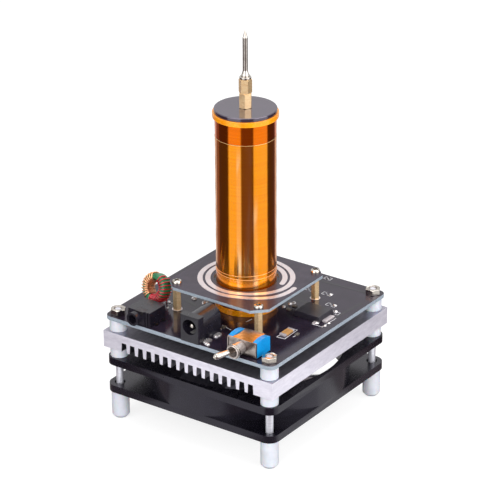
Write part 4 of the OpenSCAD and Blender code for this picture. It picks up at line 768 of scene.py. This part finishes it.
inkPaths = [line for facts in boardMarks["frames"] for line in frameMark(*facts)] + boardMarks["lines"]
layStrips("board_ink", [onBoard(p, boardMarks["inkLift"]) for p in inkPaths], boardMarks["inkWide"],
          boardMarks["inkHigh"], finishes["ink"])
layStrips("board_tracks", [onBoard(p) for p in boardMarks["tracks"]], boardMarks["trackWide"],
          boardMarks["trackHigh"], finishes["trace"])
layStrips("audio_lug", [onBoard(boardMarks["lug"], boardMarks["lugLift"])], boardMarks["lugWide"],
          boardMarks["lugHigh"], finishes["tin"])
dropSolder("board_solder", boardMarks["solder"], boardMarks["solderSize"], boardMarks["solderSeed"])
dropSolder("board_mounds", boardMarks["mounds"], boardMarks["moundSize"], boardMarks["moundSeed"])

# Screw heads get a cross recess.
recess = {
    "long": 2.1 * mm, "wide": 0.42 * mm, "deep": 0.75 * mm, "spots": 19.35 * mm, "turns": [12, 51, 33, 70],
    "hair": 0.999,  # one cut is a hair shorter, so the two don't share faces
}


def cutRecesses(piece, top):
    work = bmesh.new()
    for (sx, sy), turn in zip(corners, recess["turns"]):
        for extra in (0, 90):
            spin = Matrix.Rotation(math.radians(turn + extra), 4, "Z")
            shift = Matrix.Translation((sx * recess["spots"], sy * recess["spots"], top))
            long = recess["long"] * (1 if extra else recess["hair"])
            size = Matrix.Diagonal((long, recess["wide"], 2 * recess["deep"], 1))
            bmesh.ops.create_cube(work, size=1, matrix=shift @ spin @ size)
    mesh = bpy.data.meshes.new("recess")
    work.to_mesh(mesh)
    work.free()
    cutter = bpy.data.objects.new("recess", mesh)
    bpy.context.scene.collection.objects.link(cutter)
    cut = piece.modifiers.new("recess", "BOOLEAN")
    cut.operation = "DIFFERENCE"
    cut.solver = "EXACT"
    cut.use_self = True
    cut.object = cutter
    bakeModifiers(piece)
    bpy.data.objects.remove(cutter)


cutRecesses(bpy.data.objects["primary_screws_shaped"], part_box("primary_screws")[1].z)
print("stage: board dressed")

# Stage: pale floor, world, soft lights.
studio = {
    "floorHalf": 3.0, "paperShade": 0.3, "paperGlow": 0.8,
    "darkField": 0.065, "fieldEdge": 4, "warmth": (1, 0.6, 0.72, 1), "warmBelow": (0.1, 0.5),
    # Painted pools of light: fields where the floor glows for glossy rays only, so glossy parts mirror them: turn,
    # half width in degrees, level.
    "paintedLightFields": [(-42, 24.5, 1.0), (57, 29, 1.0), (4, 20, 0.17), (180, 42, 0.7), (-128, 12, 0.22), (142, 12, 0.2)],
    "nearField": (0.105, 0.02, 0.33),  # painted glow near the object, for glossy rays only: reach round the object, fade, level
    # World light on matt surfaces: where it starts and ends, and its level there.
    "behindLight": (-0.9, -0.78, 0.9, 0.06), "overheadLight": (0.5, 0.95, 0.0, 0.6),
    # Turn, distance, height, width, length and power.
    "lamps": {
        "leftBox": (-42, 0.9, 0.35, 0.86, 1.3, 8.0),
        "rightBox": (57, 0.9, 0.35, 0.86, 1.3, 10.0),
        "topBox": (160, 0.25, 1.1, 0.9, 0.9, 5.0),
        "fillBox": (5, 1.2, 0.35, 0.9, 0.9, 8.0),
    },
    "lampAim": 80 * mm,
}


def makeFloor():
    mesh = bpy.data.meshes.new("floor")
    half = studio["floorHalf"]
    mesh.from_pydata([(x * half, y * half, 0) for x, y in corners], [], [(0, 1, 2, 3)])
    floor = bpy.data.objects.new("floor", mesh)
    bpy.context.scene.collection.objects.link(floor)
    paper = bpy.data.materials.new("floorPaper")
    paper.use_nodes = True
    tree = paper.node_tree
    shader = tree.nodes["Principled BSDF"]
    shader.inputs["Roughness"].default_value = 0.9
    shader.inputs["Specular IOR Level"].default_value = 0.1
    ray = addNode(tree, "ShaderNodeLightPath").outputs
    shade = studio["paperShade"]
    tree.links.new(colourMix(tree, ray["Is Glossy Ray"], (shade, shade, shade, 1), (0, 0, 0, 1)),
                   shader.inputs["Base Color"])
    # Painted pools of light: for glossy rays the floor glows in fields where the lamps would light it, and is dark
    # elsewhere.
    where = placeNode(tree)
    away = vectorNode(tree, "NORMALIZE", where)
    fields = studio["darkField"]
    for turn, halfWide, level in studio["paintedLightFields"]:
        towards = vectorNode(tree, "DOT_PRODUCT", away, floorWay(turn))
        outside, inside = (math.cos(math.radians(halfWide + side * studio["fieldEdge"])) for side in (1, -1))
        fields = mathNode(tree, "MAXIMUM", fields, rangeNode(tree, towards, outside, inside, 0, level))
    reach, fade, level = studio["nearField"]
    close = rangeNode(tree, vectorNode(tree, "LENGTH", where), reach, reach - fade, 0, level)
    fields = mathNode(tree, "MAXIMUM", fields, close)
    # The dark parts of these painted reflections are tinted a little warm.
    warm = colourMix(tree, rangeNode(tree, fields, *studio["warmBelow"], 0, 1), studio["warmth"], (1, 1, 1, 1))
    tree.links.new(colourMix(tree, ray["Is Glossy Ray"], (1, 1, 1, 1), warm), shader.inputs["Emission Color"])
    mirrored = mathNode(tree, "MULTIPLY", ray["Is Glossy Ray"], fields)
    shown = mathNode(tree, "MULTIPLY", ray["Is Camera Ray"], studio["paperGlow"])
    tree.links.new(mathNode(tree, "MAXIMUM", shown, mirrored), shader.inputs["Emission Strength"])
    mesh.materials.append(paper)


def makeWorld():
    world = bpy.data.worlds.new("studioWorld")
    bpy.context.scene.world = world
    world.use_nodes = True
    tree = world.node_tree
    shade = tree.nodes["Background"]
    shade.inputs["Color"].default_value = (1, 1, 1, 1)
    # Matt surfaces are lit from above and behind. The camera, gloss and glass see plain white.
    where = addNode(tree, "ShaderNodeTexCoord").outputs["Generated"]
    split = addNode(tree, "ShaderNodeSeparateXYZ")
    tree.links.new(where, split.inputs["Vector"])
    towards = vectorNode(tree, "DOT_PRODUCT", where, (back.x, back.y, 0))
    behind = rangeNode(tree, towards, *studio["behindLight"])
    overhead = rangeNode(tree, split.outputs["Z"], *studio["overheadLight"], "LINEAR")
    tree.links.new(mathNode(tree, "ADD", behind, overhead), shade.inputs["Strength"])
    white = addNode(tree, "ShaderNodeBackground")
    white.inputs["Color"].default_value = (1, 1, 1, 1)
    white.inputs["Strength"].default_value = 1
    ray = addNode(tree, "ShaderNodeLightPath").outputs
    seen = mathNode(tree, "MAXIMUM", ray["Is Camera Ray"], ray["Is Glossy Ray"])
    seen = mathNode(tree, "MAXIMUM", seen, ray["Is Transmission Ray"])
    mix = addNode(tree, "ShaderNodeMixShader")
    for socket, value in zip(mix.inputs, (seen, shade.outputs[0], white.outputs[0])):
        tree.links.new(value, socket)
    tree.links.new(mix.outputs[0], tree.nodes["World Output"].inputs["Surface"])


def addSoftbox(name, turn, away, height, wide, tall, power):
    data = bpy.data.lights.new(name, "AREA")
    data.shape = "RECTANGLE"
    data.size = wide
    data.size_y = tall
    data.energy = power
    lamp = bpy.data.objects.new(name, data)
    bpy.context.scene.collection.objects.link(lamp)
    lamp.location = floorWay(turn) * away + Vector((0, 0, height))
    middle = Vector((0, 0, studio["lampAim"]))
    lamp.rotation_euler = (middle - lamp.location).to_track_quat("-Z", "Y").to_euler()
    lamp.visible_camera = False


makeFloor()
makeWorld()
for name, facts in studio["lamps"].items():
    addSoftbox(name, *facts)
bpy.data.objects["fillBox"].visible_glossy = False  # the fill lights matt surfaces only
bpy.context.scene.view_settings.view_transform = "Standard"
print("stage: studio ready")
